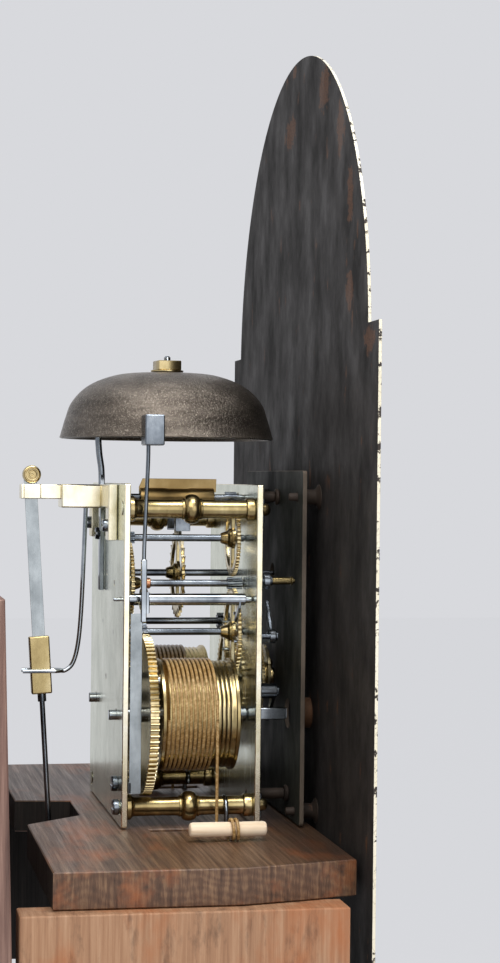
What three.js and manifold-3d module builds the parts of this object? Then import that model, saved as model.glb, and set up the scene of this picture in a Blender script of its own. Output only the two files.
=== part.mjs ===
// Eight-day rack-striking longcase clock movement with its arched dial, on its seatboard and case top.
// Millimetres. X runs left to right as seen from the dial, Y runs from the dial to the rear, Z is up.
import * as THREE from "three";
import { mergeVertices } from "three/addons/utils/BufferGeometryUtils.js";
import Module from "manifold-3d";

const wasm = await Module();
wasm.setup();

// Clearances
const FIT = 0.3;
const SHAKE = 0.4;
const PIVOT_PLAY = 0.3;
const TURN_GAP = 0.55;

// Plates and pillars
const PLATE_WIDTH = 126;
const PLATE_HEIGHT = 159;
const PLATE_THICK = 2.8;
const PILLAR_LENGTH = 59.5;
const PILLAR_RADIUS = 4.4;
const PILLAR_RING = 6;
const PILLAR_BEAD = 6.8;
const PILLAR_END_RADIUS = 3;
const PILLAR_EDGE = 8.5;
const PILLAR_X = PLATE_WIDTH / 2 - PILLAR_EDGE;
const PILLAR_TOP_LEFT = 147.3;
const PILLAR_TOP_RIGHT = 141.3;
const PILLAR_LOW_LEFT = 8.8;
const PILLAR_LOW_RIGHT = 7.2;
const PILLAR_TIP = 5;

// Planes from the rear face of the back plate towards the dial
const BACK_INNER = -PLATE_THICK;
const FRONT_INNER = BACK_INNER - PILLAR_LENGTH;
const FRONT_OUTER = FRONT_INNER - PLATE_THICK;
const FALSE_GAP = 17.4;
const FALSE_THICK = 2;
const FALSE_REAR = FRONT_OUTER - FALSE_GAP;
const FALSE_FRONT = FALSE_REAR - FALSE_THICK;
const DIAL_GAP = 8.6;
const DIAL_THICK = 1.6;
const DIAL_REAR = FALSE_FRONT - DIAL_GAP;
const DIAL_FRONT = DIAL_REAR - DIAL_THICK;

// Arbor places in the plates
const BARREL_X = 40;
const BARREL_Z = 50;
const CENTRE_Z = 64.4;
const THIRD_X = 14.5;
const THIRD_Z = 90.5;
const ESCAPE_Z = 115.2;
const PALLET_Z = 150;
const PIN_X = -25.5;
const PIN_Z = 88;
const HOOP_X = -28;
const HOOP_Z = 111.4;
const WARN_X = -31;
const WARN_Z = 133.2;
const FLY_X = -27;
const FLY_Z = 152.8;
const HAMMER_X = -PLATE_WIDTH / 2 + 11;
const HAMMER_Z = 105;

// Wheel counts
const STRIKE_GREAT_TEETH = 63;
const GOING_GREAT_TEETH = 72;
const PIN_TEETH = 48;
const HOOP_TEETH = 48;
const WARN_TEETH = 48;
const CENTRE_TEETH = 45;
const THIRD_TEETH = 48;
const ESCAPE_TEETH = 30;
const MOTION_TEETH = 30;
const HOUR_TEETH = 72;
const STRIKE_LEAVES = 6;
const GOING_LEAVES = 6;
const HOOP_LEAVES = 6;
const WARN_LEAVES = 6;
const FLY_LEAVES = 6;
const THIRD_LEAVES = 6;
const ESCAPE_LEAVES = 6;
const MINUTE_LEAVES = 6;
const WHEEL_THICK = 1.8;
const GREAT_THICK = 4.2;
const GREAT_REAR = -11.1;

// Barrels, lines and toggles
const BARREL_RADIUS = 23.9;
const BARREL_FLANGE = 25.6;
const BARREL_REAR = -18.6;
const BARREL_FRONT = -55;
const LINE_DIA = 1.5;
const STRIKE_TURNS = 11;
const GOING_TURNS = 5;
const COIL_STEPS = 12;
const TOGGLE_RADIUS = 3.3;
const TOGGLE_LENGTH = 35;
const TOGGLE_REACH = 34;
const LINE_DROP = 62;

// Bell, hammer and stand
const BELL_Y = -28.6;
const BELL_RIM_Z = 180.6;
const BELL_WALL = 2.6;
const BELL_PROFILE = [
  [52.5, 0], [51, 5.4], [49.4, 10.8], [47, 17.2], [41.6, 23.6], [34, 28.3], [23.4, 31.6], [12, 32.6],
];
const STAND_X = 12.3;
const STUD_RADIUS = 1.7;
const HAMMER_STEM_X = HAMMER_X - 9.8;
const HAMMER_Y = -10.8;

// Dial
const DIAL_WIDTH = 330;
const DIAL_SQUARE = 330;
const ARCH_RADIUS = 146.7;
const ARCH_RISE = 140.4;
const WINDING_HOLE = 7;

// Case top
const BOARD_THICK = 15.7;
const BOARD_REAR = 41.5;
const BOARD_FRONT = -90;
const CHEEK_THICK = 19;
const CASE_WIDTH = 344;
const BOARD_INSET = 8;
const BOARD_WIDTH = CASE_WIDTH - 2 * BOARD_INSET;
const NOTCH_FRONT = 14;
const NOTCH_LEFT = -18;
const NOTCH_RIGHT = 27;
const NOTCH_SLANT = 24;
const CORNER_CUT = 14;
const CHEEK_FRONT = -82.2;
const CHEEK_REAR = 57;
const CASE_DROP = 108;
const BACKBOARD_THICK = 11;
const BACKBOARD_TOP = 112;

// Pendulum
const SPRING_WIDTH = 6.2;
const SPRING_THICK = 0.5;
const SPRING_LENGTH = 66;
const PENDULUM_Y = 37.4;
const PENDULUM_LEAN = 3.7;
const SWING = THREE.MathUtils.degToRad(3.5);
const BLOCK_WIDTH = 10;
const BLOCK_THICK = 5;
const BLOCK_HEIGHT = 28;
const ROD_RADIUS = 1.3;
const ROD_END = -88;

const FINISHES = {
  plateBrass: [0xcfc79a, 0.28, 1],
  brass: [0xb8913f, 0.3, 1],
  steel: [0x6f7680, 0.3, 1],
  brightSteel: [0xb9c2cc, 0.2, 1],
  iron: [0x2b2624, 0.75, 0.4],
  bellBronze: [0x4a4136, 0.55, 0.8],
  gut: [0x8a6b3c, 0.6, 0],
  darkWood: [0x4a2f25, 0.8, 0],
  pine: [0xb07a45, 0.8, 0],
  pegWood: [0xc39a62, 0.7, 0],
  dialPaint: [0x2f2a27, 0.8, 0.2],
  handSteel: [0x15161a, 0.35, 0.9],
};

const group = new THREE.Group();
group.name = "longcase_clock";

// Turns a three.js geometry into one solid that faces outwards.
function solid(geometry) {
  const plain = geometry.index ? geometry.toNonIndexed() : geometry;
  const bare = new THREE.BufferGeometry().setAttribute("position", plain.getAttribute("position"));
  const merged = mergeVertices(bare, 1e-4);
  const kept = [];
  const index = merged.index.array;
  for (let i = 0; i < index.length; i += 3) {
    const [a, b, c] = [index[i], index[i + 1], index[i + 2]];
    if (a !== b && b !== c && a !== c) kept.push(a, b, c);
  }
  const signed = volumeOf(merged.attributes.position.array, kept);
  if (signed < 0) for (let i = 0; i < kept.length; i += 3) [kept[i], kept[i + 1]] = [kept[i + 1], kept[i]];
  return new wasm.Manifold(
    new wasm.Mesh({
      numProp: 3,
      vertProperties: merged.attributes.position.array,
      triVerts: new Uint32Array(kept),
    }),
  );
}

function volumeOf(p, index) {
  let sum = 0;
  for (let i = 0; i < index.length; i += 3) {
    const [a, b, c] = [index[i] * 3, index[i + 1] * 3, index[i + 2] * 3];
    sum += p[a] * (p[b + 1] * p[c + 2] - p[b + 2] * p[c + 1]);
    sum -= p[a + 1] * (p[b] * p[c + 2] - p[b + 2] * p[c]);
    sum += p[a + 2] * (p[b] * p[c + 1] - p[b + 1] * p[c]);
  }
  return sum;
}

function join(...parts) {
  return parts.flat().reduce((all, one) => all.add(one));
}

function cut(body, ...tools) {
  return tools.flat().reduce((all, one) => all.subtract(one), body);
}

function piece(name, finish, body) {
  const mesh = body.getMesh();
  const points = new Float32Array(mesh.numVert * 3);
  for (let i = 0; i < mesh.numVert; i++) {
    points.set(mesh.vertProperties.subarray(i * mesh.numProp, i * mesh.numProp + 3), i * 3);
  }
  const geometry = new THREE.BufferGeometry();
  geometry.setAttribute("position", new THREE.BufferAttribute(points, 3));
  geometry.setIndex(new THREE.BufferAttribute(mesh.triVerts, 1));
  geometry.computeVertexNormals();
  const [color, roughness, metalness] = FINISHES[finish];
  const made = new THREE.Mesh(geometry, new THREE.MeshStandardMaterial({ color, roughness, metalness }));
  made.name = name;
  group.add(made);
  return made;
}

// A box given by its lowest and highest corners.
function box(x0, x1, y0, y1, z0, z1) {
  const g = new THREE.BoxGeometry(Math.abs(x1 - x0), Math.abs(y1 - y0), Math.abs(z1 - z0));
  return solid(g.translate((x0 + x1) / 2, (y0 + y1) / 2, (z0 + z1) / 2));
}

// A flat shape drawn in X and Z, running from its rear Y to its front Y.
function sheet(points, rear, front) {
  const shape = new THREE.Shape(points.map(([x, z]) => new THREE.Vector2(x, z)));
  const g = new THREE.ExtrudeGeometry(shape, { depth: rear - front, bevelEnabled: false });
  return solid(g.rotateX(Math.PI / 2).translate(0, rear, 0));
}

// A flat shape drawn in X and Y, running from its lowest to its highest Z.
function slab(points, low, high) {
  const shape = new THREE.Shape(points.map(([x, y]) => new THREE.Vector2(x, y)));
  const g = new THREE.ExtrudeGeometry(shape, { depth: high - low, bevelEnabled: false });
  return solid(g.translate(0, 0, low));
}

function ring(radius, count, x = 0, z = 0, phase = 0) {
  return Array.from({ length: count }, (_, i) => {
    const a = phase + (i / count) * 2 * Math.PI;
    return [x + radius * Math.cos(a), z + radius * Math.sin(a)];
  });
}

// A round bar along Y.
function bar(x, z, radius, rear, front, sides = 16) {
  return sheet(ring(radius, sides, x, z), rear, front);
}

// A round bar along X or Z.
function barX(y, z, radius, low, high, sides = 16) {
  const g = new THREE.CylinderGeometry(radius, radius, high - low, sides).rotateZ(Math.PI / 2);
  return solid(g.translate((low + high) / 2, y, z));
}

function barZ(x, y, radius, low, high, sides = 16) {
  const g = new THREE.CylinderGeometry(radius, radius, high - low, sides).rotateX(Math.PI / 2);
  return solid(g.translate(x, y, (low + high) / 2));
}

// A turned piece along Y from a list of [radius, y] points that starts and ends on its axis.
function turned(x, z, profile, sides = 14) {
  const g = new THREE.LatheGeometry(profile.map(([r, y]) => new THREE.Vector2(r, y)), sides);
  return solid(g.translate(x, 0, z));
}

// Cylinders end to end along Y, each given as [rear, front, radius].
function stepped(x, z, steps, sides = 12) {
  const profile = [[0, steps[0][0]]];
  for (const [rear, front, radius] of steps) profile.push([radius, rear], [radius, front]);
  profile.push([0, steps[steps.length - 1][1]]);
  return turned(x, z, profile, sides);
}

function tube(points, radius, steps, sides, straight = false) {
  const at = points.map(([x, y, z]) => new THREE.Vector3(x, y, z));
  const path = straight ? new Polyline(at) : new THREE.CatmullRomCurve3(at, false, "centripetal");
  const shape = new THREE.Shape(ring(radius, sides).map(([a, b]) => new THREE.Vector2(a, b)));
  return solid(new THREE.ExtrudeGeometry(shape, { steps, bevelEnabled: false, extrudePath: path }));
}

// A path that goes through each of its points in equal steps of its parameter.
class Polyline extends THREE.Curve {
  constructor(points) {
    super();
    this.points = points;
  }

  getPoint(t, target = new THREE.Vector3()) {
    const place = t * (this.points.length - 1);
    const i = Math.min(Math.floor(place), this.points.length - 2);
    return target.lerpVectors(this.points[i], this.points[i + 1], place - i);
  }

  getPointAt(t, target) {
    return this.getPoint(t, target);
  }

  getTangentAt(t, target = new THREE.Vector3()) {
    const step = 0.5 / (this.points.length - 1);
    const a = this.getPoint(Math.max(0, t - step));
    const b = this.getPoint(Math.min(1, t + step));
    return target.subVectors(b, a).normalize();
  }
}

// Gearing
function gap(x0, z0, x1, z1) {
  return Math.hypot(x1 - x0, z1 - z0);
}

// The pitch radius of the first of two meshed wheels, and the size of one tooth.
function meshed(teeth, mate, distance) {
  const module = (2 * distance) / (teeth + mate);
  return { module, pitch: (module * teeth) / 2, mate: (module * mate) / 2 };
}

// Wheel teeth come to a point, which leaves the leaves of the pinion room.
function toothed(x, z, teeth, pitch, module, rear, front, phase = 0) {
  const points = [];
  for (let i = 0; i < teeth; i++) {
    const root = phase + ((i - 0.5) / teeth) * 2 * Math.PI;
    const tip = phase + (i / teeth) * 2 * Math.PI;
    points.push([x + (pitch - 1.25 * module) * Math.cos(root), z + (pitch - 1.25 * module) * Math.sin(root)]);
    points.push([x + (pitch + 0.85 * module) * Math.cos(tip), z + (pitch + 0.85 * module) * Math.sin(tip)]);
  }
  return sheet(points, rear, front);
}

// Pinion leaves are thin blades, with free space on both sides of each wheel tooth.
function pinion(x, z, leaves, pitch, module, rear, front, phase = 0) {
  const points = [];
  const outer = pitch + 0.6 * module;
  const root = pitch - 1.15 * module;
  for (let i = 0; i < leaves; i++) {
    const mid = phase + ((i + 0.5) / leaves) * 2 * Math.PI;
    const pitchAngle = (2 * Math.PI) / leaves;
    for (const [r, share] of [[root, -0.24], [outer, 0], [root, 0.24]]) {
      const a = mid + share * pitchAngle;
      points.push([x + r * Math.cos(a), z + r * Math.sin(a)]);
    }
  }
  return sheet(points, rear, front);
}

// Four openings that leave a rim, a hub and four arms.
function crossings(x, z, inner, outer, armWidth, rear, front, count = 4) {
  return Array.from({ length: count }, (_, k) => {
    const from = (k / count) * 2 * Math.PI;
    const to = ((k + 1) / count) * 2 * Math.PI;
    const points = [];
    const inPad = armWidth / 2 / inner;
    const outPad = armWidth / 2 / outer;
    for (let i = 0; i <= 2; i++) {
      const a = from + outPad + ((to - from - 2 * outPad) * i) / 2;
      points.push([x + outer * Math.cos(a), z + outer * Math.sin(a)]);
    }
    for (let i = 1; i >= 0; i--) {
      const a = from + inPad + (to - from - 2 * inPad) * i;
      points.push([x + inner * Math.cos(a), z + inner * Math.sin(a)]);
    }
    return sheet(points, rear + 1, front - 1);
  });
}

function crossedWheel(x, z, teeth, pitch, module, rear, bore, phase = 0, thick = WHEEL_THICK) {
  const front = rear - thick;
  const body = toothed(x, z, teeth, pitch, module, rear, front, phase);
  const rim = pitch - 1.25 * module - 2.6;
  const hub = Math.max(bore + 2.2, pitch * 0.24);
  const openings = crossings(x, z, hub, rim, 2, rear, front);
  return cut(body, openings, bar(x, z, bore, rear + 1, front - 1, 8));
}

// The angle at which a tooth of the wheel points straight at its mate, and a leaf gap of the mate at it.
function meshAngle(x0, z0, x1, z1) {
  return Math.atan2(z1 - z0, x1 - x0);
}

const GOING_GREAT = meshed(GOING_GREAT_TEETH, GOING_LEAVES, gap(BARREL_X, BARREL_Z, 0, CENTRE_Z));
const CENTRE = meshed(CENTRE_TEETH, THIRD_LEAVES, gap(0, CENTRE_Z, THIRD_X, THIRD_Z));
const THIRD = meshed(THIRD_TEETH, ESCAPE_LEAVES, gap(THIRD_X, THIRD_Z, 0, ESCAPE_Z));
const STRIKE_GREAT = meshed(STRIKE_GREAT_TEETH, STRIKE_LEAVES, gap(-BARREL_X, BARREL_Z, PIN_X, PIN_Z));
const PINS = meshed(PIN_TEETH, HOOP_LEAVES, gap(PIN_X, PIN_Z, HOOP_X, HOOP_Z));
const HOOP = meshed(HOOP_TEETH, WARN_LEAVES, gap(HOOP_X, HOOP_Z, WARN_X, WARN_Z));
const WARN = meshed(WARN_TEETH, FLY_LEAVES, gap(WARN_X, WARN_Z, FLY_X, FLY_Z));

// Wheel planes, rear faces
const THIRD_REAR = -4.8;
const HOOP_REAR = -5.6;
const WARN_REAR = -55.6;
const PIN_REAR = -57;
const CENTRE_REAR = -59.8;
const ESCAPE_REAR = -34;
const ESCAPE_RADIUS = 22;
const ARBOR = 1.7;
const PIVOT = 0.9;
const BIG_PIVOT = 2.4;
const COLLET = 2.8;
const BORE = COLLET + FIT;

// Leaves that stand proud of the wheel they work in
const LEAF_SIDE = 2.4;

// Frame
// Holes whose flats, not their corners, lie at the radius given
function plateHoles(rear, front, places) {
  return places.map(([x, z, r]) => {
    const sides = r > 4 ? 14 : r > 2 ? 8 : 6;
    return bar(x, z, r / Math.cos(Math.PI / sides), rear + 1, front - 1, sides);
  });
}

const PIVOT_HOLE = PIVOT + PIVOT_PLAY;
const SHARED_HOLES = [
  [-BARREL_X, BARREL_Z, BIG_PIVOT + PIVOT_PLAY],
  [BARREL_X, BARREL_Z, BIG_PIVOT + PIVOT_PLAY],
  [THIRD_X, THIRD_Z, PIVOT_HOLE],
  [PIN_X, PIN_Z, PIVOT_HOLE],
  [WARN_X, WARN_Z, PIVOT_HOLE],
  [FLY_X, FLY_Z, PIVOT_HOLE],
  [HAMMER_X, HAMMER_Z, PIVOT_HOLE],
];
const PILLARS = [
  ["pillar_top_left", -PILLAR_X, PILLAR_TOP_LEFT],
  ["pillar_top_right", PILLAR_X, PILLAR_TOP_RIGHT],
  ["pillar_low_left", -PILLAR_X, PILLAR_LOW_LEFT],
  ["pillar_low_right", PILLAR_X, PILLAR_LOW_RIGHT],
];

function plate(rear, extra) {
  const front = rear - PLATE_THICK;
  const body = box(-PLATE_WIDTH / 2, PLATE_WIDTH / 2, rear, front, 0, PLATE_HEIGHT);
  const pillars = PILLARS.map(([, x, z]) => [x, z, PILLAR_END_RADIUS + FIT]);
  return cut(body, plateHoles(rear, front, [...SHARED_HOLES, ...pillars, ...extra]));
}

function makePlates() {
  piece("back_plate", "plateBrass", plate(0, [
    [0, CENTRE_Z, PIVOT_HOLE],
    [HOOP_X, HOOP_Z, PIVOT_HOLE],
    [0, ESCAPE_Z, PIVOT_HOLE],
    [0, PALLET_Z, CRUTCH_HUB + FIT],
    [SPRING_SCREW_X, SPRING_SCREW_Z, SPRING_SCREW + FIT],
  ]));
  piece("front_plate", "plateBrass", join(plate(FRONT_INNER, [
    [0, CENTRE_Z, CANNON_PIVOT + PIVOT_PLAY],
    [HOOP_X, HOOP_Z, HOOP_PIVOT + PIVOT_PLAY],
    [0, ESCAPE_Z, SECONDS_PIVOT + PIVOT_PLAY],
    [0, PALLET_Z, PIVOT_HOLE],
    [MINUTE_X, MINUTE_Z, PIVOT_HOLE],
    ...FALSE_FEET.map(([x, z]) => [x, z, FALSE_PEG + FIT]),
  ]), leverStuds()));
}

// A pillar is riveted behind the back plate and pinned before the front plate.
function pillar(x, z) {
  const mid = BACK_INNER - PILLAR_LENGTH / 2;
  const a = BACK_INNER - FIT;
  const b = FRONT_INNER + FIT;
  const r = PILLAR_RADIUS;
  const end = PILLAR_END_RADIUS;
  const profile = [
    [0, 1.2], [end, 1.2], [end, a], [PILLAR_RING, a], [PILLAR_RING, a - 2.8], [r, a - 3.6],
    [r, mid + 4.4], [r + 1.6, mid + 3.6], [PILLAR_BEAD, mid + 1.4], [PILLAR_BEAD, mid - 1.4],
    [r + 1.6, mid - 3.6], [r, mid - 4.4], [r, b + 4], [r + 1, b + 3.6], [r + 1, b], [end, b],
    [end, FRONT_OUTER - PILLAR_TIP + 1], [0, FRONT_OUTER - PILLAR_TIP],
  ];
  const pin = barZ(x, FRONT_OUTER - 1.6, 0.8, z - 6, z + 5, 4);
  return join(turned(x, z, profile, 8), pin);
}

function makePillars() {
  for (const [name, x, z] of PILLARS) piece(name, "brass", pillar(x, z));
}

// Case top
const BOARD_TOP = -FIT;
const BOARD_LOW = BOARD_TOP - BOARD_THICK;
const LINE_R = LINE_DIA / 2;
const COIL_RADIUS = (BARREL_RADIUS + FIT + LINE_R) / Math.cos(Math.PI / COIL_STEPS);
const LINE_X = BARREL_X + COIL_RADIUS;
const TOGGLE_X = LINE_X + TOGGLE_REACH;
const TOGGLE_WRAP = TOGGLE_RADIUS + FIT + LINE_R;
const TOGGLE_Z = BOARD_TOP + FIT + LINE_R + TOGGLE_WRAP;
const RISE_X = TOGGLE_X - TOGGLE_WRAP;
const TURN_PITCH = LINE_DIA + TURN_GAP;
const COIL_START = BARREL_REAR - 1.8 - LINE_R - FIT;
const HOOK_RADIUS = 1.15;
const HOOK_Y = -49.5;
const LINE_HOLE = 2.8;
const SLOT_HALF = 4.5;

function fallY(turns) {
  return COIL_START - turns * TURN_PITCH;
}

function seatboard() {
  const w = BOARD_WIDTH / 2;
  const outline = [
    [-w, BOARD_REAR], [NOTCH_LEFT - NOTCH_SLANT, BOARD_REAR], [NOTCH_LEFT, NOTCH_FRONT],
    [NOTCH_RIGHT, NOTCH_FRONT], [NOTCH_RIGHT + 4, BOARD_REAR], [w, BOARD_REAR],
    [w, BOARD_FRONT], [-w + CORNER_CUT, BOARD_FRONT], [-w + CORNER_CUT / 2, BOARD_FRONT + 24],
    [-w, BOARD_FRONT + 52],
  ];
  const holes = [];
  for (const side of [-1, 1]) {
    const [a, b] = [side * LINE_X - SLOT_HALF, side * LINE_X + SLOT_HALF];
    holes.push(box(a, b, BARREL_FRONT - 3, BARREL_REAR + 6, BOARD_LOW - 1, BOARD_TOP + 1));
    holes.push(barZ(side * RISE_X, fallY(side < 0 ? STRIKE_TURNS : GOING_TURNS), LINE_HOLE,
      BOARD_LOW - 1, BOARD_TOP + 1, 8));
    holes.push(barZ(side * hookLeg(), HOOK_Y, HOOK_RADIUS + FIT, BOARD_LOW - 1, BOARD_TOP + 1, 8));
  }
  return cut(slab(outline, BOARD_LOW, BOARD_TOP), holes);
}

function hookLeg() {
  return PILLAR_X + PILLAR_RADIUS + FIT + HOOK_RADIUS;
}

// A hook over the lower pillar, drawn down through the seatboard by a nut.
function seatHook(side, z) {
  const out = hookLeg() - PILLAR_X;
  const at = (r, a) => [side * (PILLAR_X + r * Math.cos(a)), HOOK_Y, z + r * Math.sin(a)];
  const points = [[side * hookLeg(), HOOK_Y, BOARD_LOW - 8], [side * hookLeg(), HOOK_Y, z - 2]];
  for (let i = 0; i <= 6; i++) points.push(at(out, (i / 6) * Math.PI));
  points.push([side * (PILLAR_X - out), HOOK_Y, z - 2.5]);
  const leg = tube(points, HOOK_RADIUS, points.length - 1, 5, true);
  return join(leg, barZ(side * hookLeg(), HOOK_Y, 4, BOARD_LOW - FIT - 3, BOARD_LOW - FIT, 6));
}

function makeCase() {
  const half = CASE_WIDTH / 2;
  const top = BOARD_LOW - FIT;
  piece("seatboard", "darkWood", seatboard());
  piece("left_cheek", "pine", box(-half, -half + CHEEK_THICK, CHEEK_FRONT, CHEEK_REAR, -CASE_DROP, top));
  piece("right_cheek", "pine", box(half - CHEEK_THICK, half, CHEEK_FRONT, CHEEK_REAR, -CASE_DROP, top));
  const rear = CHEEK_REAR + FIT;
  piece("backboard", "darkWood", box(-half, half, rear, rear + BACKBOARD_THICK, -CASE_DROP, BACKBOARD_TOP));
  piece("left_seat_hook", "steel", seatHook(-1, PILLAR_LOW_LEFT));
  piece("right_seat_hook", "steel", seatHook(1, PILLAR_LOW_RIGHT));
}

// Lines
function coil(side, turns) {
  const steps = turns * COIL_STEPS;
  const points = [];
  for (let i = 0; i <= steps; i++) {
    const a = Math.PI - (1 - i / steps) * turns * 2 * Math.PI;
    const y = COIL_START - (i / steps) * turns * TURN_PITCH;
    points.push([side * (BARREL_X - COIL_RADIUS * Math.cos(a)), y, BARREL_Z + COIL_RADIUS * Math.sin(a)]);
  }
  return points;
}

// The line falls from its barrel, goes round the place of a pulley, and comes up to its toggle.
function fall(side, turns) {
  const y = fallY(turns);
  const points = [];
  const down = BARREL_Z - FIT;
  for (let i = 0; i <= 5; i++) points.push([side * LINE_X, y, down - (i / 5) * (down + LINE_DROP)]);
  const r = (RISE_X - LINE_X) / 2;
  for (let i = 1; i <= 8; i++) {
    const a = (i / 8) * Math.PI;
    points.push([side * (LINE_X + r - r * Math.cos(a)), y, -LINE_DROP - r * Math.sin(a)]);
  }
  for (let i = 1; i <= 4; i++) points.push([side * RISE_X, y, -LINE_DROP + (i / 4) * (LINE_DROP + TOGGLE_Z)]);
  for (let i = 1; i <= 24; i++) {
    const a = (i / 12) * 2 * Math.PI;
    points.push([side * (TOGGLE_X - TOGGLE_WRAP * Math.cos(a)), y - (i / 12) * TURN_PITCH,
      TOGGLE_Z + TOGGLE_WRAP * Math.sin(a)]);
  }
  return points;
}

function toggle(side, turns) {
  const mid = fallY(turns) - TURN_PITCH + 3;
  const half = TOGGLE_LENGTH / 2;
  const profile = [
    [0, mid + half], [TOGGLE_RADIUS - 0.8, mid + half], [TOGGLE_RADIUS, mid + half - 1],
    [TOGGLE_RADIUS, mid - half + 1], [TOGGLE_RADIUS - 0.8, mid - half], [0, mid - half],
  ];
  return turned(side * TOGGLE_X, TOGGLE_Z, profile, 10);
}

// The least distance between turns that lie more than half a turn apart, less the line itself.
function leastGap(points, apart) {
  let least = Infinity;
  for (let i = 0; i < points.length; i++) {
    for (let j = i + apart; j < points.length; j++) {
      const d = Math.hypot(...points[i].map((v, k) => v - points[j][k]));
      least = Math.min(least, d);
    }
  }
  return least - LINE_DIA;
}

function makeLines() {
  for (const [name, side, turns] of [["strike", -1, STRIKE_TURNS], ["going", 1, GOING_TURNS]]) {
    const wound = coil(side, turns);
    const free = fall(side, turns);
    console.log(name, "winding", turns, "turns, least gap", leastGap(wound, COIL_STEPS / 2).toFixed(2),
      "mm; line at its toggle", leastGap(free.slice(-24), 6).toFixed(2), "mm");
    piece(name + "_line_winding", "gut", tube(wound, LINE_R, wound.length - 1, 6, true));
    piece(name + "_line", "gut", tube(free, LINE_R, free.length - 1, 6, true));
    piece(name + "_toggle", "pegWood", toggle(side, turns));
  }
}

// Barrels and great wheels
const WINDING_SQUARE = 5.6;
const WINDING_END = FALSE_REAR + 1;
const BARREL_BORE = 3.6;

function barrel(side) {
  const x = side * BARREL_X;
  const body = stepped(x, BARREL_Z, [
    [BACK_INNER - SHAKE, BARREL_REAR, BARREL_BORE],
    [BARREL_REAR, BARREL_REAR - 1.8, BARREL_FLANGE],
    [BARREL_REAR - 1.8, BARREL_FRONT + 1.8, BARREL_RADIUS],
    [BARREL_FRONT + 1.8, BARREL_FRONT, BARREL_FLANGE],
    [BARREL_FRONT, FRONT_INNER + SHAKE, BARREL_BORE],
  ], 16);
  const pivots = stepped(x, BARREL_Z, [[3.6, FRONT_OUTER - 1.2, BIG_PIVOT]], 8);
  const half = WINDING_SQUARE / 2;
  const square = box(x - half, x + half, FRONT_OUTER - SHAKE, WINDING_END, BARREL_Z - half, BARREL_Z + half);
  return join(body, pivots, square);
}

function greatWheel(side, teeth, mesh, mate) {
  const x = side * BARREL_X;
  const phase = meshAngle(x, BARREL_Z, ...mate);
  const front = GREAT_REAR - GREAT_THICK;
  const body = toothed(x, BARREL_Z, teeth, mesh.pitch, mesh.module, GREAT_REAR, front, phase);
  const click = bar(x - 20, BARREL_Z + 18, 2.6, front, front - 2.4, 10);
  return cut(join(body, click), bar(x, BARREL_Z, BARREL_BORE + FIT, GREAT_REAR + 1, front - 1, 14));
}

function makeBarrels() {
  piece("strike_barrel", "brass", barrel(-1));
  piece("going_barrel", "brass", barrel(1));
  piece("strike_great_wheel", "brass",
    greatWheel(-1, STRIKE_GREAT_TEETH, STRIKE_GREAT, [PIN_X, PIN_Z]));
  piece("going_great_wheel", "brass", greatWheel(1, GOING_GREAT_TEETH, GOING_GREAT, [0, CENTRE_Z]));
}

// Arbors between the plates, with a pinion and a collet for the wheel
function arbor(x, z, leaves, mesh, leafRear, leafFront, toward, wheelRear, options = {}) {
  const { front = FRONT_OUTER - 0.6, frontPivot = PIVOT, radius = ARBOR, thick = WHEEL_THICK } = options;
  const a = BACK_INNER - SHAKE;
  const b = FRONT_INNER + SHAKE;
  const shaft = stepped(x, z, [[0, a, PIVOT], [a, b, radius], [b, front, frontPivot]], 6);
  const phase = meshAngle(x, z, ...toward);
  const leaf = pinion(x, z, leaves, mesh.mate, mesh.module, leafRear, leafFront, phase);
  const behind = wheelRear - thick / 2 > (a + b) / 2 ? -1 : 1;
  const colletEnd = behind > 0 ? wheelRear + 5.5 : wheelRear - thick - 4;
  const seat = bar(x, z, COLLET, Math.max(wheelRear, colletEnd), Math.min(wheelRear - thick, colletEnd), 6);
  return join(shaft, leaf, seat);
}

function makeStrikeTrain() {
  const great = [-BARREL_X, BARREL_Z];
  const pin = [PIN_X, PIN_Z];
  const hoop = [HOOP_X, HOOP_Z];
  const warn = [WARN_X, WARN_Z];
  const fly = [FLY_X, FLY_Z];
  piece("pin_wheel_arbor", "steel", arbor(...pin, STRIKE_LEAVES, STRIKE_GREAT, GREAT_REAR + LEAF_SIDE,
    GREAT_REAR - GREAT_THICK - 0.8, great, PIN_REAR));
  const studs = ring(PINS.pitch - 3.4, 8, ...pin, 0.2)
    .map(([x, z]) => bar(x, z, 0.8, PIN_REAR + 1.3, PIN_REAR - 0.5, 4));
  const pinWheel = crossedWheel(...pin, PIN_TEETH, PINS.pitch, PINS.module, PIN_REAR, BORE,
    meshAngle(...pin, ...hoop));
  piece("pin_wheel", "brass", join(pinWheel, studs));
  piece("hoop_wheel_arbor", "steel", join(
    arbor(...hoop, HOOP_LEAVES, PINS, PIN_REAR + LEAF_SIDE, FRONT_INNER + SHAKE, pin, HOOP_REAR,
      { front: GATHER_FRONT, frontPivot: HOOP_PIVOT }),
    bar(...hoop, 2.6, -13.5, -17.3, 8), gatheringPallet()));
  piece("hoop_wheel", "brass",
    crossedWheel(...hoop, HOOP_TEETH, HOOP.pitch, HOOP.module, HOOP_REAR, BORE, meshAngle(...hoop, ...warn)));
  piece("warning_wheel_arbor", "steel", arbor(...warn, WARN_LEAVES, HOOP, BACK_INNER - SHAKE,
    HOOP_REAR - WHEEL_THICK - 1.6, hoop, WARN_REAR));
  piece("warning_wheel", "brass",
    crossedWheel(...warn, WARN_TEETH, WARN.pitch, WARN.module, WARN_REAR, BORE, meshAngle(...warn, ...fly)));
  piece("fly_arbor", "steel", arbor(...fly, FLY_LEAVES, WARN, WARN_REAR + LEAF_SIDE,
    WARN_REAR - WHEEL_THICK - 1.5, warn, FLY_REAR, { thick: 2, radius: 1.3 }));
  piece("fly", "brass", flyVane());
}

const FLY_REAR = -30;
const FLY_SPAN = 8.6;
const FLY_SHEET = 0.7;

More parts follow.
